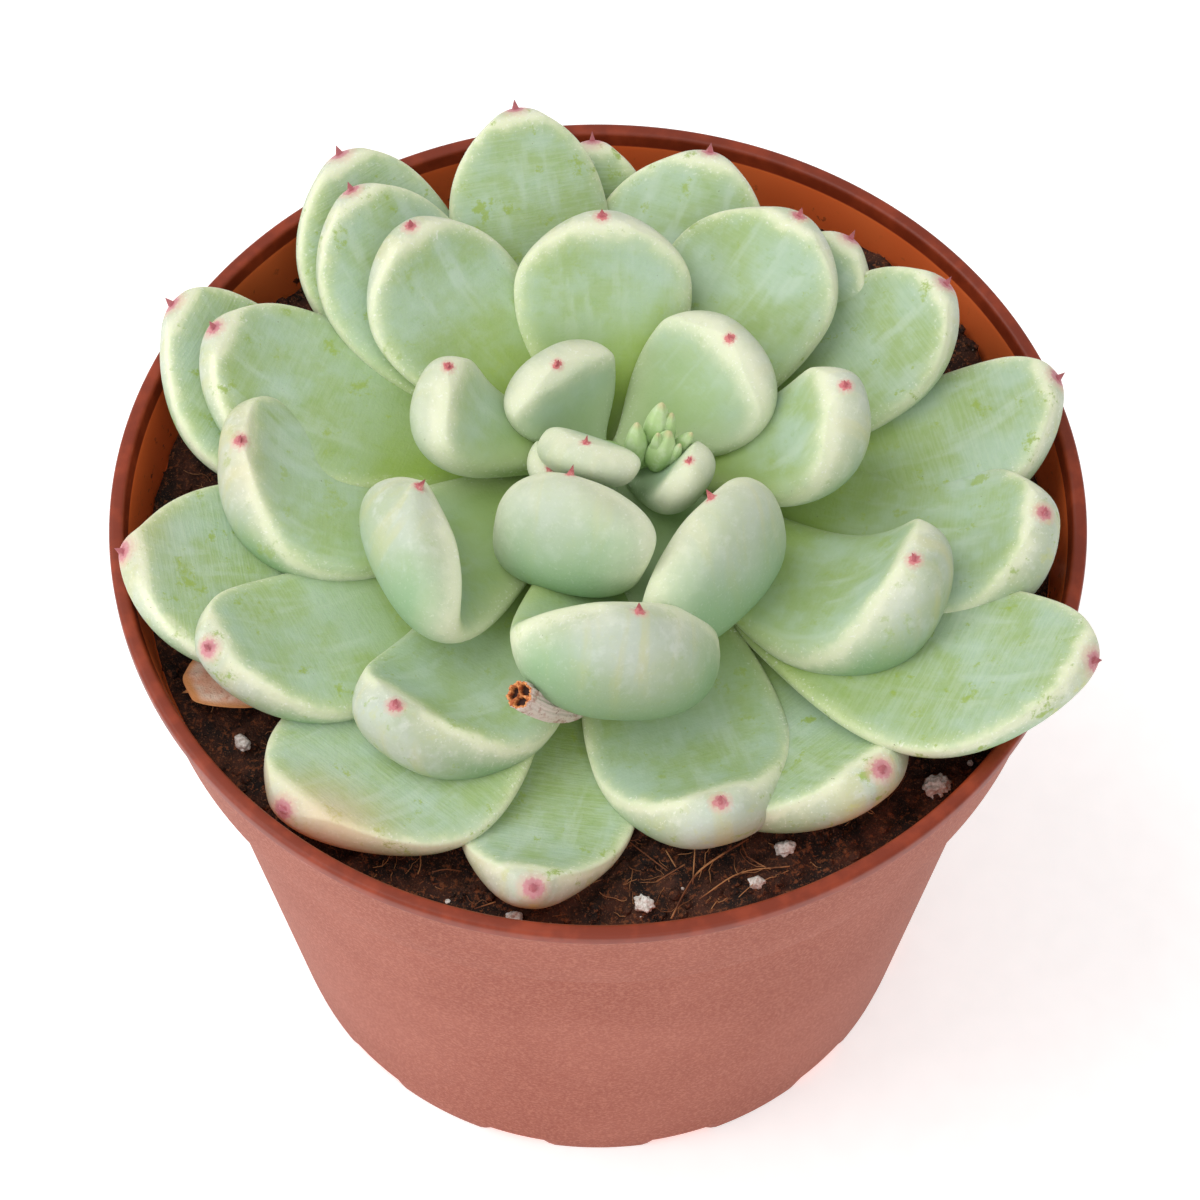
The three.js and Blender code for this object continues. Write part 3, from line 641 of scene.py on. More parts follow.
def leaf_skin(name, leaf, seed, blush=(0, 0)):
    s = np.minimum(1 - (1 - np.linspace(0, 1, RINGS + 1)[:-1]) ** CROWDED, LAST_RING)
    crest = int(np.argmin(np.abs(s - RIDGE)))
    s[crest] = RIDGE
    samples, upper, lower, length = side_profiles(leaf)
    upper, lower = (read_at(s, samples, curve) for curve in (upper, lower))
    thinning = np.clip((s - EDGE_FROM) / EDGE_OVER, 0, 1) ** 1.5
    edge = (UPPER_SHARE - (UPPER_SHARE - EDGE_SHARE) * thinning)[:, None]
    margin = upper * (1 - edge) + lower * edge
    turn = math.radians(leaf["azimuth"])
    lean = math.tan(math.radians(leaf.get("roll", 0)))
    angle = circle(SIDES)
    boxy = np.where(np.sin(angle) > 0, BOXY_ABOVE, BOXY_BELOW)
    aside = np.sign(np.cos(angle)) * np.abs(np.cos(angle)) ** boxy
    rise = np.sign(np.sin(angle)) * np.abs(np.sin(angle)) ** (boxy + BOXIER)
    half = leaf["width"] / 2 * outline(s)
    hollow = np.sin(math.pi * np.minimum(s / 0.96, 1)) ** 2
    cup = between(leaf["age"], 0, CUP) * leaf["width"] * outline(s) * hollow
    drift = leaf.get("sway", 0) * np.sin(math.pi * s**1.8) + leaf.get("skew", 0) * s**3 * (1 - s**30)
    sideways = drift[:, None] + half[:, None] * aside
    up_part = np.maximum(rise, 0)[None, :, None] * (upper - margin)[:, None, :]
    low_part = np.maximum(-rise, 0)[None, :, None] * (lower - margin)[:, None, :]
    above = across(midline(leaf, s)[1])
    cupped = (cup[:, None] * (aside**2 - 0.4))[:, :, None] * above[:, None, :]
    plane = margin[:, None, :] + up_part + low_part + cupped

    def place(out, side, height):
        x = STEM_AXIS[0] + out * math.sin(turn) + side * math.cos(turn)
        y = STEM_AXIS[1] - out * math.cos(turn) + side * math.sin(turn)
        return np.stack([x, y, height + side * lean], axis=-1) * MM

    (foot, tip), (out_of_stem, out_of_tip), _ = midline(leaf, [0, 1])
    foot = foot - out_of_stem * SUNK_FOOT
    point = tip + out_of_tip * (MUCRO * min(1, leaf["width"] / MUCRO_FULL))
    grid = place(plane[..., 0], sideways, plane[..., 1]).reshape(-1, 3)
    ends = [place(at[0], 0, at[1])[None] for at in (foot, point)]
    leaf_piece = mesh_piece(name, np.vstack([ends[0], grid, ends[1]]), ring_faces(RINGS, SIDES))

    def keep(attribute, values, first, last):
        """One value for each ring, or for each point of the grid, and one for each end."""
        values = np.asarray(values).reshape(-1)
        values = np.repeat(values, SIDES) if len(values) == RINGS else values
        store(leaf_piece.data, attribute, np.concatenate([[first], values, [last]]))

    # how far each point is from the ridge, in mm: over 0 on the upper face, under 0 outside it
    points = grid.reshape(RINGS, SIDES, 3)
    line = np.vstack([points[: crest + 1, 0], points[crest, : SIDES // 2 + 1], points[: crest + 1, SIDES // 2]])
    gap = np.sqrt(((grid[:, None, :] - line[None]) ** 2).sum(axis=2)).min(axis=1) / MM
    inside = np.outer(s <= RIDGE, rise > 0).reshape(-1)
    blushing = -(((sideways - blush[0]) / BLUSH_WIDTH) ** 2) - ((s[:, None] - BLUSH_PLACE) / BLUSH_LENGTH) ** 2
    to_tip = np.linalg.norm(grid - place(tip[0], 0, tip[1]), axis=1) / MM
    keep("along", s, 0, 1)
    keep("along_mm", s * length, 0, length)
    keep("side_mm", half[:, None] * aside, 0, 0)
    keep("blush", np.exp(blushing) * blush[1], 0, 0)
    keep("ridge", np.where(inside, gap, -gap), 0, -3)
    keep("tip", to_tip, length, 0)
    keep("age", np.full(RINGS, leaf["age"]), leaf["age"], leaf["age"])
    keep("seed", np.full(RINGS, seed), seed, seed)
    return leaf_piece


# a leaf's number, how far aside its blush lies in mm, and how strong it is
BLUSHES = {27: (6, 1.0), 31: (-5, 0.3), 15: (3, 0.25)}
leaves = []
for i, leaf in enumerate(LEAVES):
    node = "leaf_%02d" % (i + 1)
    piece = leaf_skin(node + "_skin", leaf, i * 0.618 % 1, BLUSHES.get(i + 1, (0, 0)))
    settle(piece, node)
    leaves.append(piece)
print("leaf skins:", len(leaves), "faces each:", len(leaves[0].data.polygons))

# %% [markdown]
# The skin of these leaves is mint green under a thin grey bloom, greener and yellower towards the stem. The
# upper face ends in a soft cream ridge; beyond it the blunt end is paler and chalky, with yellow bands that
# run down from the small red point. Older leaves are more mottled, with scuffs where the bloom has rubbed
# off, dark specks, and a larger, faded pink spot at the tip. The attributes stored on the skin say where a
# place lies on its leaf, so one material serves them all.

# %% Leaf finish
def leaf_finish():
    m = Finish("leaf_skin")
    along, ridge, age, tip = (m.attribute(k) for k in ("along", "ridge", "age", "tip"))
    sides = {0: m.attribute("side_mm"), 1: m.attribute("along_mm"), 2: m.attribute("seed")}
    on_leaf = m.node("CombineXYZ", sides).outputs[0]
    broad = m.noise(8)
    mottle = m.noise(2.2, detail=5, rough=0.62)
    fine = m.noise(0.4)
    stripes = m.stretched(on_leaf, (0.1, 1.4, 40.0), Scale=2.4, Detail=2.0, Distortion=0.5)
    bands = m.stretched(on_leaf, (0.9, 0.16, 25.0), Scale=0.5, Detail=3.0)
    ragged = m.math("ADD", ridge, m.times(m.math("SUBTRACT", mottle, 0.5), 2.2))
    ragged = m.math("DIVIDE", ragged, m.ramp(age, 0.45, 0.1, 1.0, 2.2))
    # the upper face
    upper = m.coats(
        paint(158, 182, 124),
        (m.ramp(broad, 0.34, 0.66), 1, 170, 194, 166),
        (m.ramp(mottle, 0.47, 0.7), 0.4, 180, 202, 180),
        (m.ramp(bands, 0.5, 0.7), 0.45, 190, 208, 188),
        (m.ramp(mottle, 0.45, 0.3), 0.3, 140, 172, 96),
        (m.ramp(stripes, 0.42, 0.62), m.ramp(age, 0.3, 1.0, 0.05, 0.26), 196, 212, 186),
        (m.ramp(along, 0.78, 0.3, 0.0, 0.85), 1, 138, 166, 58),
        (m.ramp(ragged, 2.6, 0.2), 0.55, 204, 216, 166),
        (m.ramp(age, 0.3, 0.05), 0.6, 158, 184, 160),
    )
    # the outer face
    outer = m.coats(
        paint(180, 192, 162),
        (m.ramp(broad, 0.36, 0.66), 1, 192, 201, 186),
        (m.ramp(bands, 0.48, 0.68), 0.5, 202, 200, 144),
        (m.ramp(mottle, 0.5, 0.7), 0.6, 208, 214, 204),
        (m.ramp(mottle, 0.44, 0.3), m.ramp(age, 0.2, 0.8, 0.2, 0.7), 196, 200, 130),
        (m.ramp(age, 0.32, 0.05), 0.45, 164, 182, 154),
        (m.ramp(tip, 5, 15, 0.0, 0.9), 1, 136, 172, 128),
        (m.ramp(ragged, -3.6, -0.3), 0.55, 226, 228, 200),
    )
    colour = m.mix(m.ramp(ragged, -0.7, 0.6), outer, upper)
    # the soft cream ridge, with a fine sparkle of bloom
    line = m.times(m.ramp(ragged, -1.5, -0.2), m.ramp(ragged, 1.4, 0.1))
    line = m.times(line, m.ramp(along, 0.35, 0.8))
    colour = m.coat(colour, line, 0.6, 236, 238, 208)
    sparkle = m.times(m.ramp(fine, 0.58, 0.7), m.ramp(ridge, -4.5, 0, 0.1, 0.55))
    colour = m.coat(colour, sparkle, m.ramp(ridge, 3, 0.5), 240, 242, 232)
    # scuffs, specks and the blush
    scuff = m.times(m.ramp(m.noise(3.4, detail=6, rough=0.72), 0.58, 0.67), 0.85)
    colour = m.coat(colour, scuff, m.ramp(age, 0.1, 0.7, 0.1, 1.0), 152, 176, 82)
    speck = m.ramp(m.noise(1.15, detail=4, rough=0.75), 0.69, 0.73)
    colour = m.coats(
        colour,
        (speck, m.ramp(age, 0.05, 0.7, 0.2, 0.75), 112, 116, 78),
        (m.attribute("blush"), 0.55, 226, 188, 150),
    )
    # the point at the tip
    spot = m.math("ADD", tip, m.times(m.math("SUBTRACT", fine, 0.5), 1.1))
    spot = m.math("DIVIDE", spot, m.ramp(age, 0, 1, 0.48, 1.2))
    colour = m.coat(colour, m.ramp(spot, 2.3, 1.2), 0.5, 222, 176, 164)
    pink = m.mix(m.ramp(age, 0.1, 0.7), paint(206, 88, 100), paint(200, 124, 138))
    colour = m.mix(m.times(m.ramp(spot, 1.35, 0.85), 0.8), colour, pink)
    colour = m.coat(colour, m.ramp(spot, 0.7, 0.25), 0.6, 160, 56, 74)
    relief = m.math("ADD", m.times(mottle, 0.6), m.times(fine, 0.4))
    relief = m.math("ADD", relief, m.times(stripes, m.ramp(age, 0.3, 1.0, 0.05, 0.5)))
    return m.surface(
        Base_Color=colour,
        Roughness=0.6,
        Normal=m.bump(relief, 0.2, 0.6),
        Specular_IOR_Level=0.3,
        Subsurface_Weight=0.1,
        Subsurface_Radius=(1.0, 1.2, 0.5),
        Subsurface_Scale=0.002,
    )


leaf_material = leaf_finish()
for piece in leaves:
    piece.data.materials.append(leaf_material)
print("leaf finish nodes:", len(leaf_material.node_tree.nodes))

# %% [markdown]
# ## The soil
# The pot is filled with dark peat, a little below the rim, banked up against the wall at the back right. The
# filling is a body of revolution up to its edge; its top follows the frame's gentle waves, and clods of two
# sizes are added on top of them.

# %% Height of the soil
SOIL_TOP, GAP = 79.9, 0.3
BANK_RISE, BANK_AZIMUTH, BANK_HALF_WIDTH, BANK_FROM, BANK_OVER = 4.6, 134, 24, 40, 16
CLODS, CRUMBS = (3.2, 0, 0.55), (1.1, 9, 0.4)  # size, place in the noise and height, in mm


def soil_wave(x, y):
    aside = (math.degrees(math.atan2(x, -y)) - BANK_AZIMUTH) / BANK_HALF_WIDTH
    share = min(1, max(0, (math.hypot(x, y) - BANK_FROM) / BANK_OVER))
    bank = math.exp(-aside * aside) * share * share * (3 - 2 * share)
    rough = math.sin(0.61 * x + 1.3) * math.sin(0.53 * y + 0.4) + 0.7 * math.sin(1.1 * x - 0.9 * y)
    return SOIL_TOP + BANK_RISE * bank + 0.4 * rough


def soil_height(x, y):
    clods, crumbs = (noise.noise(Vector((x / size, y / size, at))) * high for size, at, high in (CLODS, CRUMBS))
    return soil_wave(x, y) + clods + crumbs


print("soil height at the front:", round(soil_height(0, -50), 2), "mm")

# %% [markdown]
# The filling stands 0.3 mm clear of the pot. Its top is a dense net of rings, so that the clods are real
# shapes and not only shading.

# %% The filling
SOIL_TURNS, TOP_RINGS, TOP_STEP = 540, 86, 0.62
edge = collar_inner(LEDGE) - LEDGE_WIDTH - GAP
filling = [
    (body_inner(FLOOR_TOP) - 1.8, FLOOR_TOP + GAP),
    (body_inner(FLOOR_TOP + 1.5) - GAP, FLOOR_TOP + 1.8),
    (body_inner(BARREL_TOP) - GAP, BARREL_TOP),
    (edge, LEDGE - GAP),
    (edge, LEDGE + GAP),
    (collar_inner(LEDGE) - GAP, LEDGE + GAP),
]
turns = [math.radians(step * 360 / SOIL_TURNS) for step in range(SOIL_TURNS)]
rings = [(*around(radius, turn), z) for radius, z in filling for turn in turns]
for k in range(TOP_RINGS):
    radius = collar_inner(SOIL_TOP) - GAP - TOP_STEP * k
    for turn in turns:
        height = soil_height(*around(radius, turn))
        rings.append((*around(min(radius, collar_inner(height) - GAP), turn), height))
points = [(0, 0, FLOOR_TOP + GAP), *rings, (0, 0, soil_height(0, 0))]
points = [(x * MM, y * MM, z * MM) for x, y, z in points]
soil = mesh_piece("soil_surface", points, ring_faces(len(filling) + TOP_RINGS, SOIL_TURNS))
print("soil faces:", len(soil.data.polygons))

# %% [markdown]
# Moist peat is nearly black, with red-brown crumbs and a few light bits. Three sizes of noise mix them, and
# the two finer ones also roughen the surface.

# %% Finish of the soil
def soil_finish():
    m = Finish("peat")
    bits = m.noise(0.7, rough=0.7)
    fine = m.noise(0.22, detail=2)
    clumps = m.ramp(m.noise(3.4, detail=4), 0.35, 0.65)
    colour = m.coats(
        paint(24, 13, 10),
        (clumps, 1, 76, 42, 28),
        (m.ramp(bits, 0.53, 0.65), 0.85, 132, 76, 44),
        (m.ramp(fine, 0.6, 0.72), 0.6, 168, 118, 84),
    )
    normal = m.bump(m.math("ADD", bits, m.times(fine, 0.5)), 0.35, 0.9)
    return m.surface(Base_Color=colour, Roughness=0.82, Normal=normal, Specular_IOR_Level=0.4)


peat = soil_finish()
settle(soil, "soil", peat)
print("soil finished")

# %% [markdown]
# ## Crumbs and fibres
# Loose crumbs of peat, thin coir fibres and bits of perlite lie all over the soil. They repeat by the
# thousand, so Geometry Nodes scatter them: points on the soil outside the stem, a small lump or a short
# curve on each, turned and sized at random from a fixed seed. The small class below builds such a tree and
# turns its result into a plain mesh.

# %% Helper for geometry nodes
class Tree(Nodes):
    """A geometry-nodes tree that lays small things on the soil."""

    def __init__(self, name, sizes):
        self.tree = bpy.data.node_groups.new(name, "GeometryNodeTree")
        socket = self.tree.interface.new_socket
        socket("Geometry", in_out="INPUT", socket_type="NodeSocketGeometry")
        socket("Geometry", in_out="OUTPUT", socket_type="NodeSocketGeometry")
        for label, value in sizes.items():
            kind = "NodeSocketInt" if isinstance(value, int) else "NodeSocketFloat"
            socket(label, in_out="INPUT", socket_type=kind).default_value = value
        self.given = self.tree.nodes.new("NodeGroupInput").outputs
        self.result = self.tree.nodes.new("NodeGroupOutput")

    def random(self, low, high, seed):
        """Another value for each point, a number or a vector, between these two."""
        kind, at = ("FLOAT_VECTOR", 0) if isinstance(low, tuple) else ("FLOAT", 1)
        inputs = {2 * at: low, 2 * at + 1: high, "Seed": seed}
        return self.node("FunctionNodeRandomValue", inputs, data_type=kind).outputs[at]

    def vector(self, operation, value, other):
        inputs = {0: value, "Scale" if operation == "SCALE" else 1: other}
        return self.node("ShaderNodeVectorMath", inputs, operation=operation).outputs[0]

    def scatter(self, thing, turn, scale):
        """This thing on points spread over the ground, turned and scaled, as real geometry."""
        spread = {"Mesh": self.given["Geometry"], "Density": self.given["Density"], "Seed": self.given["Seed"]}
        spots = self.node("GeometryNodeDistributePointsOnFaces", spread).outputs["Points"]
        placing = {"Points": spots, "Instance": thing, "Rotation": turn, "Scale": scale}
        placed = self.node("GeometryNodeInstanceOnPoints", placing).outputs[0]
        return self.node("GeometryNodeRealizeInstances", {0: placed}).outputs[0]

    def wave(self, noise_scale, detail, middle):
        """Noise along each axis, with this middle taken off."""
        made = self.node("ShaderNodeTexNoise", {"Scale": noise_scale, "Detail": detail}).outputs["Color"]
        return self.vector("SUBTRACT", made, middle)

    def moved(self, geometry, offset):
        return self.node("GeometryNodeSetPosition", {"Geometry": geometry, "Offset": offset}).outputs[0]

    def end(self, geometry, material):
        real = self.node("GeometryNodeRealizeInstances", {0: geometry}).outputs[0]
        painted = self.node("GeometryNodeSetMaterial", {"Geometry": real, "Material": material}).outputs[0]
        self.tree.links.new(painted, self.result.inputs[0])
        return self

    def grow(self, name, ground, values):
        """A new plain mesh object: the tree's result on a ground mesh, with these values of its inputs."""
        bed = new_object(name + "_bed", ground)
        made = bed.modifiers.new(name, "NODES")
        made.node_group = self.tree
        for item in self.tree.interface.items_tree:
            if item.in_out == "INPUT" and item.name in values:
                made[item.identifier] = values[item.name]
        bpy.context.view_layer.update()
        mesh = bpy.data.meshes.new_from_object(bed.evaluated_get(bpy.context.evaluated_depsgraph_get()))
        bpy.data.objects.remove(bed)
        mesh.name = name
        return new_object(name, mesh)


STEM_CLEARANCE, LOWEST, FLATTEST = 24, LEDGE - 1, 0.2


def bed(reach):
    """The soil's top from near the stem out to this radius, in mm: things lie inside it, clear of the wall."""
    bed_mesh = bmesh.new()
    bed_mesh.from_mesh(soil.data)
    outside = []
    for face in bed_mesh.faces:
        middle = face.calc_center_median() / MM
        near = STEM_CLEARANCE < math.hypot(middle.x, middle.y) < reach
        if not (near and middle.z > LOWEST and face.normal.z > FLATTEST):
            outside.append(face)
    bmesh.ops.delete(bed_mesh, geom=outside, context="FACES")
    mesh = bpy.data.meshes.new("bed")
    bed_mesh.to_mesh(mesh)
    bed_mesh.free()
    return mesh


ground = bed(55.8)
print("ground faces:", len(ground.polygons))

# %% [markdown]
# A lump is a ball of 20 faces, squashed and turned at random and then pushed out of shape by noise. Most
# are small, as in sifted peat.

# %% Tree that scatters lumps
def lumps_tree(material):
    t = Tree("lumps", {"Density": 1.0, "Smallest": 0.001, "Largest": 0.002, "Seed": 1})
    lump = t.node("GeometryNodeMeshIcoSphere", {"Radius": 0.5, "Subdivisions": 1}).outputs["Mesh"]
    # most are small: the size goes by a random share, cubed
    share = t.node("ShaderNodeMath", {0: t.random(0.0, 1.0, 3), 1: 3.0}, operation="POWER").outputs[0]
    sizes = {"Value": share, "To Min": t.given["Smallest"], "To Max": t.given["Largest"]}
    size = t.node("ShaderNodeMapRange", sizes).outputs[0]
    scale = t.vector("SCALE", t.random((0.7, 0.7, 0.45), (1.5, 1.0, 0.8), 5), size)
    turn = t.random((-0.5, -0.5, 0.0), (0.5, 0.5, 6.28), 7)
    lumps = t.scatter(lump, turn, scale)
    wobble = t.wave(1600.0, 1.0, (0.5, 0.5, 0.5))
    return t.end(t.moved(lumps, t.vector("SCALE", wobble, t.given["Smallest"])), material)


crumb_sizes = {"Density": 460000.0, "Smallest": 0.0003, "Largest": 0.0021, "Seed": 4}
crumbs = lumps_tree(peat).grow("crumbs", ground, crumb_sizes)
settle(crumbs)
print("crumb faces:", len(crumbs.data.polygons))

# %% [markdown]
# Coir fibres are hair-thin, tan or orange, and lie criss-cross. One tree scatters the short ones; a few long
# ones at the front, which can be told apart in the photograph, are drawn from their own points.

# %% Fibres
def fibre_finish():
    m = Finish("coir")
    colour = m.coats(
        paint(120, 70, 40),
        (m.ramp(m.noise(7, detail=1), 0.36, 0.64), 1, 206, 150, 100),
        (m.ramp(m.noise(2.5), 0.55, 0.7), 1, 90, 50, 30),
    )
    return m.surface(Base_Color=colour, Roughness=0.6, Specular_IOR_Level=0.4)


def fibres_tree(material):
    t = Tree("fibres", {"Density": 1.0, "Shortest": 0.002, "Longest": 0.008, "Thickness": 0.0001, "Seed": 1})
    line = t.node("GeometryNodeCurvePrimitiveLine", {"Start": (-0.5, 0.0, 0.0), "End": (0.5, 0.0, 0.0)})
    line = t.node("GeometryNodeResampleCurve", {"Curve": line.outputs[0], "Count": 10}).outputs[0]
    length = t.random(t.given["Shortest"], t.given["Longest"], 3)
    lines = t.scatter(line, t.random((0.0, -0.22, 0.0), (0.0, 0.22, 6.28), 5), length)
    sway = t.vector("MULTIPLY", t.wave(210.0, 2.0, (0.5, 0.5, 0.42)), (0.007, 0.007, 0.0024))
    wire = {"Resolution": 4, "Radius": t.given["Thickness"]}
    ring = t.node("GeometryNodeCurvePrimitiveCircle", wire).outputs[0]
    hairs = {"Curve": t.moved(lines, sway), "Profile Curve": ring, "Fill Caps": True}
    return t.end(t.node("GeometryNodeCurveToMesh", hairs).outputs[0], material)


coir = fibre_finish()
fibre_tree = fibres_tree(coir)
FIBRE_INPUTS = ("Density", "Shortest", "Longest", "Thickness", "Seed")
FIBRES = {  # how far out they lie in mm, then the values of the inputs
    "fibres_short": (51.5, (78000.0, 0.0015, 0.006, 0.00005, 2)),
    "fibres_long": (47.5, (9000.0, 0.006, 0.013, 0.00008, 8)),
}
for name, (reach, values) in FIBRES.items():
    fibres = fibre_tree.grow(name, bed(reach), dict(zip(FIBRE_INPUTS, values)))
    settle(fibres)
    print(name, "faces:", len(fibres.data.polygons))

# %% [markdown]
# A rod follows a smooth curve through its points. It makes the long fibres here, and the stalks further on.

# %% Rods
def smooth_path(corners, steps):
    """A Catmull-Rom curve through the corners, with this many steps between each two."""
    p = [np.array(c, dtype=float) for c in corners]
    p = [2 * p[0] - p[1]] + p + [2 * p[-1] - p[-2]]
    path = []
    for a, b, c, d in zip(p, p[1:], p[2:], p[3:]):
        for k in range(steps):
            t = k / steps
            curved = (2 * a - 5 * b + 4 * c - d) * t**2 + (3 * b - a - 3 * c + d) * t**3
            path.append(0.5 * (2 * b + (c - a) * t + curved))
    return np.array(path + [p[-2]])


SIDE_GUIDE = (0.3, 0.1, 1.0)


def rod_points(path, radii, sides):
    """Rings round a path, each turned to lie across it."""
    along = unit(np.gradient(path, axis=0))
    side = unit(np.cross(along, SIDE_GUIDE))
    other = np.cross(along, side)
    turns = circle(sides)
    ring = np.cos(turns)[None, :, None] * side[:, None] + np.sin(turns)[None, :, None] * other[:, None]
    radii = np.broadcast_to(np.asarray(radii), (len(path), sides))
    return path[:, None] + ring * radii[..., None]


class Rods:
    """Rods gathered into one mesh, with how far along each one its points are."""

    def __init__(self):
        self.points, self.faces, self.along = [], [], []

    def add(self, path, radii, sides, last=0):
        shift = len(self.points)
        self.points += [path[0], *rod_points(path, radii, sides).reshape(-1, 3), path[-1]]
        self.faces += [tuple(k + shift for k in face) for face in ring_faces(len(path), sides)]
        self.along += [0, *np.repeat(np.linspace(0, 1, len(path)) * last, sides), last]

    def piece(self, name):
        return mesh_piece(name, np.array(self.points) * MM, self.faces)


FIBRE_LIFT, FIBRE_RADII, FIBRE_SIDES = 1.1, (0.13, 0.09), 5  # the first fibre is the thickest
LONG_FIBRES = [
    [(8.7, -52.3), (10.8, -47.7), (12.9, -45.0), (18.0, -41.5)],
    [(11.3, -47.6), (11.6, -42.9)],
    [(2.8, -41.0), (5.0, -42.9), (8.3, -45.9)],
    [(8.1, -42.9), (9.3, -45.6)],
    [(7.0, -47.2), (10.4, -45.3)],
    [(-21.5, -41.9), (-21.2, -44.8), (-21.5, -46.3)],
    [(-19.8, -46.3), (-18.1, -45.8), (-16.3, -45.6)],
    [(-14.7, -51.1), (-12.2, -50.1)],
    [(31.6, -35.9), (37.1, -32.4)],
    [(12.1, -49.7), (17.0, -45.9), (22.9, -45.3)],
]
rods = Rods()
for number, marks in enumerate(LONG_FIBRES):
    path = smooth_path([(x, y, soil_wave(x, y) + FIBRE_LIFT) for x, y in marks], 6)
    rods.add(path, FIBRE_RADII[min(number, 1)], FIBRE_SIDES)
long_fibres = rods.piece("fibres_front")
settle(long_fibres, material=coir)
print("long fibres:", len(LONG_FIBRES))

# %% [markdown]
# ## Perlite
# White grains of expanded glass, mixed into the peat to keep it loose. Each grain in the frame becomes a
# pitted lump of the same size; smaller bits are scattered like the crumbs.

# %% Perlite
PERLITE = [  # place and size, in mm
    (40.9, -34, 3.4),
    (22.4, -42.4, 2.6),
    (5.5, -50.4, 2.6),
    (-10.1, -51.7, 2.4),
    (54, -1.6, 2.6),
    (-19.6, -40.7, 2.2),
    (-43.2, -27.7, 2.2),
    (19, -47.2, 2),
]
SQUASH, CORE = (1.15, 0.95, 0.85), 0.82
KNOBS, PITS = (1.4, 0.35), (4, 0.1)  # how dense they are and how high, as a share of the grain


def perlite_finish():
    m = Finish("perlite")
    pits = m.noise(0.5, rough=0.7)
    colour = m.coats(
        paint(208, 200, 192),
        (m.ramp(pits, 0.4, 0.6), 1, 246, 244, 240),
        (m.ramp(m.noise(0.9, detail=4), 0.66, 0.74), 1, 140, 112, 96),
    )
    return m.surface(Base_Color=colour, Roughness=0.85, Normal=m.bump(pits, 0.25, 0.8), Specular_IOR_Level=0.3)


perlite = perlite_finish()
for number, (x, y, size) in enumerate(PERLITE):
    node = "perlite_%02d" % (number + 1)
    lump = bmesh.new()
    bmesh.ops.create_icosphere(lump, subdivisions=4, radius=size / 2)
    # each grain is turned another way, by its own place
    turn = Matrix.Rotation(y, 3, "X") @ Matrix.Rotation(x, 3, "Z") @ Matrix.Diagonal(SQUASH)
    centre = Vector((x, y, soil_wave(x, y) + 0.1 * size + 0.25))
    for vertex in lump.verts:
        knobs, pits = (noise.noise(vertex.co * dense + centre) * high for dense, high in (KNOBS, PITS))
        vertex.co = (turn @ (vertex.co * (CORE + (knobs + pits))) + centre) * MM
    mesh = bpy.data.meshes.new(node + "_lump")
    lump.to_mesh(mesh)
    mesh.polygons.foreach_set("use_smooth", [True] * len(mesh.polygons))
    settle(new_object(node + "_lump", mesh), node, perlite)
bit_sizes = {"Density": 7000.0, "Smallest": 0.0003, "Largest": 0.0016, "Seed": 11}
bits = lumps_tree(perlite).grow("perlite_bits", ground, bit_sizes)
settle(bits)
print("perlite grains:", len(PERLITE), "bits:", len(bits.data.polygons) // 20)

# %% [markdown]
# ## The stem
# A short thick stem carries the leaves. Only slivers of it show between them, so a plain turned shape with a
# fibrous green-brown finish is enough.

# %% Stem
STEM_FOOT, STEM_SIDES = 70, 48


def stem_finish():
    m = Finish("stem_bark")
    streaks = m.noise(0.8, detail=4, rough=0.65)
    colour = m.coats(
        paint(132, 150, 84),
        (m.ramp(streaks, 0.38, 0.62), 1, 168, 176, 122),
        (m.ramp(m.noise(2), 0.6, 0.7), 1, 140, 108, 74),
    )
    height = m.node("SeparateXYZ", {0: m.where}).outputs["Z"]
    colour = m.mix(m.ramp(height, 0.092, 0.097), colour, paint(160, 192, 124))
    return m.surface(Base_Color=colour, Roughness=0.7, Normal=m.bump(streaks, 0.3, 0.7))


stem_outline = [
    (STEM_FOOT_RADIUS - 1, STEM_FOOT),
    (STEM_FOOT_RADIUS, STEM_FOOT + 2),
    (STEM_FOOT_RADIUS, LEAF_BASE_TOP - LEAF_BASE_SPAN),
    (STEM_TOP_RADIUS, STEM_TOP - 1),
]
points = [(*STEM_AXIS, STEM_FOOT)]
for radius, z in stem_outline:
    for turn in circle(STEM_SIDES):
        x, y = around(radius, turn)
        points.append((STEM_AXIS[0] + x, STEM_AXIS[1] + y, z))
points.append((*STEM_AXIS, STEM_TOP))
stem = mesh_piece("stem_skin", np.array(points) * MM, ring_faces(len(stem_outline), STEM_SIDES))
settle(stem, "stem", stem_finish())
print("stem faces:", len(stem.data.polygons))

# %% [markdown]
# ## The old flower stalk
# An earlier flower was cut off at the front. Its stub has dried: a pinkish-grey, wrinkled tube whose cut end
# shrank to an orange-brown rim round a few hollow cells. The tube is a rod with lengthwise wrinkles, and
# the cut face is a round grid that sinks where the cells are. The sunken cells are painted near-black by
# their depth, as painted shade in the hollows.

# %% Old stalk
STALK_PATH = [(1, -2.5, 89.5), (0.4, -14, 87.6), (-2.2, -26, 88.6), (-5.6, -30.4, 93.2), (-9.3, -32.6, 99.6)]
STALK_RADIUS, STALK_SIDES, STALK_STEPS = 1.85, 96, 14
END_RINGS, CELL_DEPTH, PITH_DEPTH, FAR_FROM_END = 22, 0.9, 0.3, 99
path = smooth_path(STALK_PATH, STALK_STEPS)
turns = circle(STALK_SIDES)
share = np.linspace(0, 1, len(path))[:, None]
wrinkles = 0.05 * np.sin(9 * turns + 5 * share) + 0.035 * np.sin(23 * turns - 9 * share) - 0.03
radii = STALK_RADIUS * (1 + wrinkles - 0.05 * share)
radii[-1] *= 0.97 + 0.03 * np.sin(7 * turns)
tube = rod_points(path, radii, STALK_SIDES)
axis = path[-1] - path[-2]
axis /= np.linalg.norm(axis)
end_rings = []
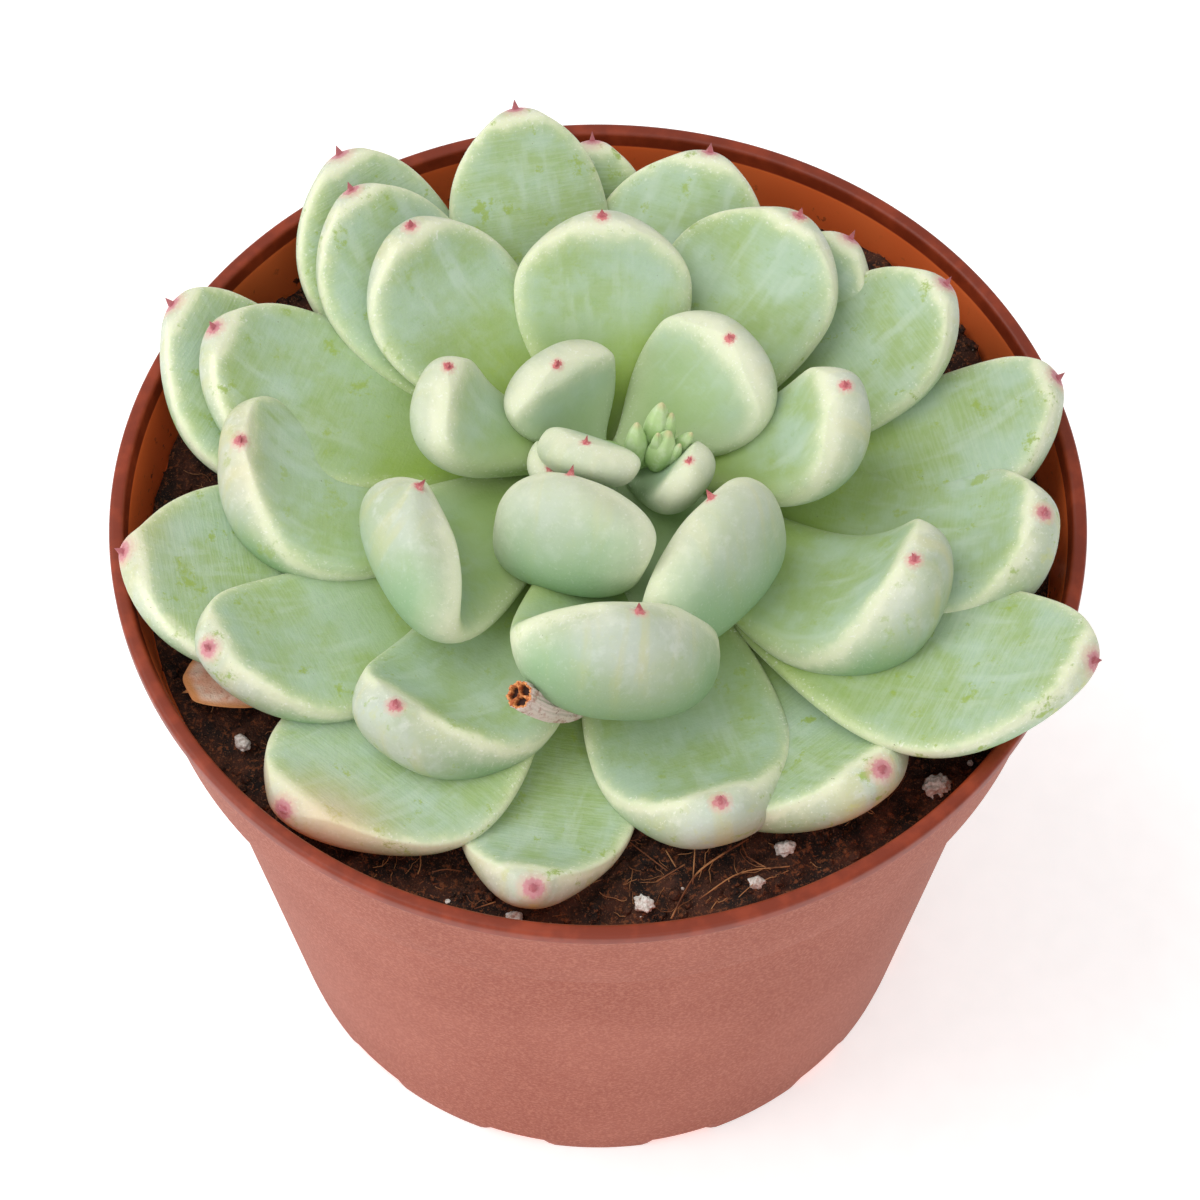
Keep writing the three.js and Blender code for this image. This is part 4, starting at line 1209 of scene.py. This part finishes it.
for inward in np.linspace(0.94, 0.06, END_RINGS):
    # the cells lie between the rim and the pith, with walls between them
    cells = np.clip((np.abs(np.sin(1.5 * turns + 0.6)) - 0.22) * 3, 0, 1)
    cells *= np.clip((0.84 - inward) * 9, 0, 1) * np.clip((inward - 0.14) * 9, 0, 1)
    ragged = 0.12 * np.sin(11 * turns + 3 * inward) + 0.1 * np.sin(29 * turns) * inward
    depth = CELL_DEPTH * cells - ragged * (1 - cells)
    end_rings.append(path[-1] + (tube[-1] - path[-1]) * inward - axis * np.maximum(depth, -0.02)[:, None])
end_rings = np.array(end_rings)
stalk_rings = np.concatenate([tube, end_rings])
points = np.vstack([path[:1], stalk_rings.reshape(-1, 3), (path[-1] - axis * PITH_DEPTH)[None]])
stalk = mesh_piece("old_stalk", points * MM, ring_faces(len(stalk_rings), STALK_SIDES))
from_end = np.repeat(np.maximum(0, len(tube) - np.arange(len(stalk_rings))), STALK_SIDES)
sunk = np.concatenate([np.zeros((len(tube), STALK_SIDES)), (path[-1] - end_rings) @ axis]).reshape(-1)
store(stalk.data, "from_end", np.concatenate([[FAR_FROM_END], from_end, [0]]))
store(stalk.data, "sunk", np.concatenate([[0], sunk, [PITH_DEPTH]]))


def stalk_finish():
    m = Finish("dry_stalk")
    skin = m.noise(1.1, detail=4, rough=0.6)
    colour = m.coats(
        paint(190, 150, 138),
        (m.ramp(skin, 0.3, 0.52), 1, 226, 210, 202),
        (m.ramp(m.noise(0.9), 0.62, 0.7), 1, 150, 106, 92),
    )
    rim = m.mix(m.ramp(m.noise(0.4, detail=2), 0.4, 0.6), paint(168, 84, 36), paint(222, 150, 88))
    colour = m.mix(m.ramp(m.attribute("from_end"), 1.6, 0.4), colour, rim)
    # painted shade: the sunken cells of the cut end are painted near-black by their depth
    colour = m.mix(m.ramp(m.attribute("sunk"), 0.25, 0.9), colour, paint(52, 22, 10))
    return m.surface(Base_Color=colour, Roughness=0.75, Normal=m.bump(skin, 0.25, 0.7))


settle(stalk, "old_flower_stalk", stalk_finish())
print("stalk faces:", len(stalk.data.polygons))

# %% [markdown]
# ## The flower buds
# Beside the centre a new flower stalk has just begun: a tight bunch of long, ribbed buds, yellow-green with
# faintly pink points. Each bud is a spindle whose outline has five soft lobes, thickest below its middle.

# %% Buds
BUD_STALK = [(2.4, 1.6, 98), (4.6, 0.8, 99.6), (6.8, 0, 102.6)]
BUD_STALK_RADIUS, BUD_STALK_SIDES = 1.3, 24
BUDS = [  # foot, tip and width
    ((4.4, -0.6, 100), (4.7, 0.6, 108), 2.7),
    ((6.5, 1.2, 101), (7.7, 2.1, 110), 3),
    ((7.2, 0.8, 101), (8.9, 1.6, 108.6), 2.4),
    ((6.8, -1, 100.6), (8.6, -0.7, 108), 3.2),
    ((7, -0.4, 101), (7.2, -1.2, 108.4), 1.8),
    ((9, 0.2, 101.4), (11.3, -0.2, 107), 1.9),
    ((8.2, -1.2, 101.2), (9.9, -1.5, 106.5), 1.7),
]
BUD_RINGS, BUD_SIDES, BUD_FULLNESS, LOBE_DEPTH = 28, 40, 1.2, 0.07
rods = Rods()
rods.add(smooth_path(BUD_STALK, 6), BUD_STALK_RADIUS, BUD_STALK_SIDES)
s = np.linspace(0.004, 0.996, BUD_RINGS)[:, None]
turns = circle(BUD_SIDES)[None]
for foot, tip, width in BUDS:
    low, high = np.array(foot, dtype=float), np.array(tip, dtype=float)
    spindle = np.sin(math.pi * s**0.8) ** 0.62 * (1 - 0.2 * s)
    lobes = 1 + LOBE_DEPTH * np.sin(5 * turns + width) * s
    rods.add(low + (high - low) * s, width / 2 * BUD_FULLNESS * spindle * lobes, BUD_SIDES, 1)
buds = rods.piece("flower_buds_skin")
store(buds.data, "towards_tip", rods.along)


def bud_finish():
    m = Finish("bud_skin")
    share = m.attribute("towards_tip")
    colour = m.coats(
        paint(150, 184, 112),
        (m.ramp(share, 0.1, 0.8), 1, 186, 212, 152),
        (m.ramp(m.noise(1.2, detail=4), 0.45, 0.65), 0.55, 206, 222, 186),
        (m.ramp(share, 0.88, 1.0), 0.5, 206, 170, 130),
    )
    normal = m.bump(m.noise(0.3, detail=2), 0.06, 0.6)
    return m.surface(Base_Color=colour, Roughness=0.5, Normal=normal, Specular_IOR_Level=0.35)


settle(buds, "flower_buds", bud_finish())
print("bud faces:", len(buds.data.polygons))

# %% [markdown]
# ## The withered leaf
# One of the oldest leaves has dried to a thin pink-tan sheet that lies on the soil at the front left. It is
# the same skin as the living leaves with hardly any thickness, and wrinkles along its length.

# %% Withered leaf
WAVE_ALONG, WAVE_ACROSS, WAVE_PLACE, WAVE_HEIGHT = 160, 700, 3, 0.0004


def withered_finish():
    m = Finish("withered_skin")
    creases = m.noise(0.8, detail=4, rough=0.7)
    blotch = m.ramp(m.noise(3.5, detail=4), 0.36, 0.62)
    # painted light: these paints are lighter than the dry leaf itself, to lift the shade that the leaves above
    # cast on it
    colour = m.coats(
        paint(240, 178, 146),
        (blotch, 1, 250, 222, 202),
        (m.ramp(creases, 0.56, 0.68), 0.6, 206, 132, 102),
        (m.ramp(m.attribute("ridge"), 1.2, 0.1), 1, 236, 164, 104),
    )
    return m.surface(Base_Color=colour, Roughness=0.65, Normal=m.bump(creases, 0.3, 0.8))


withered = leaf_skin("withered_skin", WITHERED, 0.5)
for vertex in withered.data.vertices:
    wave = Vector((vertex.co.x * WAVE_ALONG, vertex.co.y * WAVE_ACROSS, WAVE_PLACE))
    vertex.co.z += noise.noise(wave) * WAVE_HEIGHT
settle(withered, "withered_leaf", withered_finish())
print("withered leaf faces:", len(withered.data.polygons))

# %% [markdown]
# ## The floor
# The pot stands on a plain, nearly white sheet, which fades into the white world behind it.

# %% Floor
FLOOR_REACH = 2


def floor_finish():
    m = Finish("white_sheet")
    colour = m.mix(m.ramp(m.noise(4), 0.3, 0.7), paint(246, 246, 246), paint(250, 250, 250))
    glow = {"Emission_Color": (1, 1, 1, 1), "Emission_Strength": 0.38}
    return m.surface(Base_Color=colour, Roughness=0.9, Specular_IOR_Level=0.1, **glow)


corners = [(x * FLOOR_REACH, y * FLOOR_REACH, 0) for x, y in ((-1, -1), (1, -1), (1, 1), (-1, 1))]
floor = mesh_piece("floor", corners, [(0, 1, 2, 3)], smooth=False)
floor.data.materials.append(floor_finish())
print("floor laid")

# %% [markdown]

# %% Finish
bpy.context.view_layer.update()
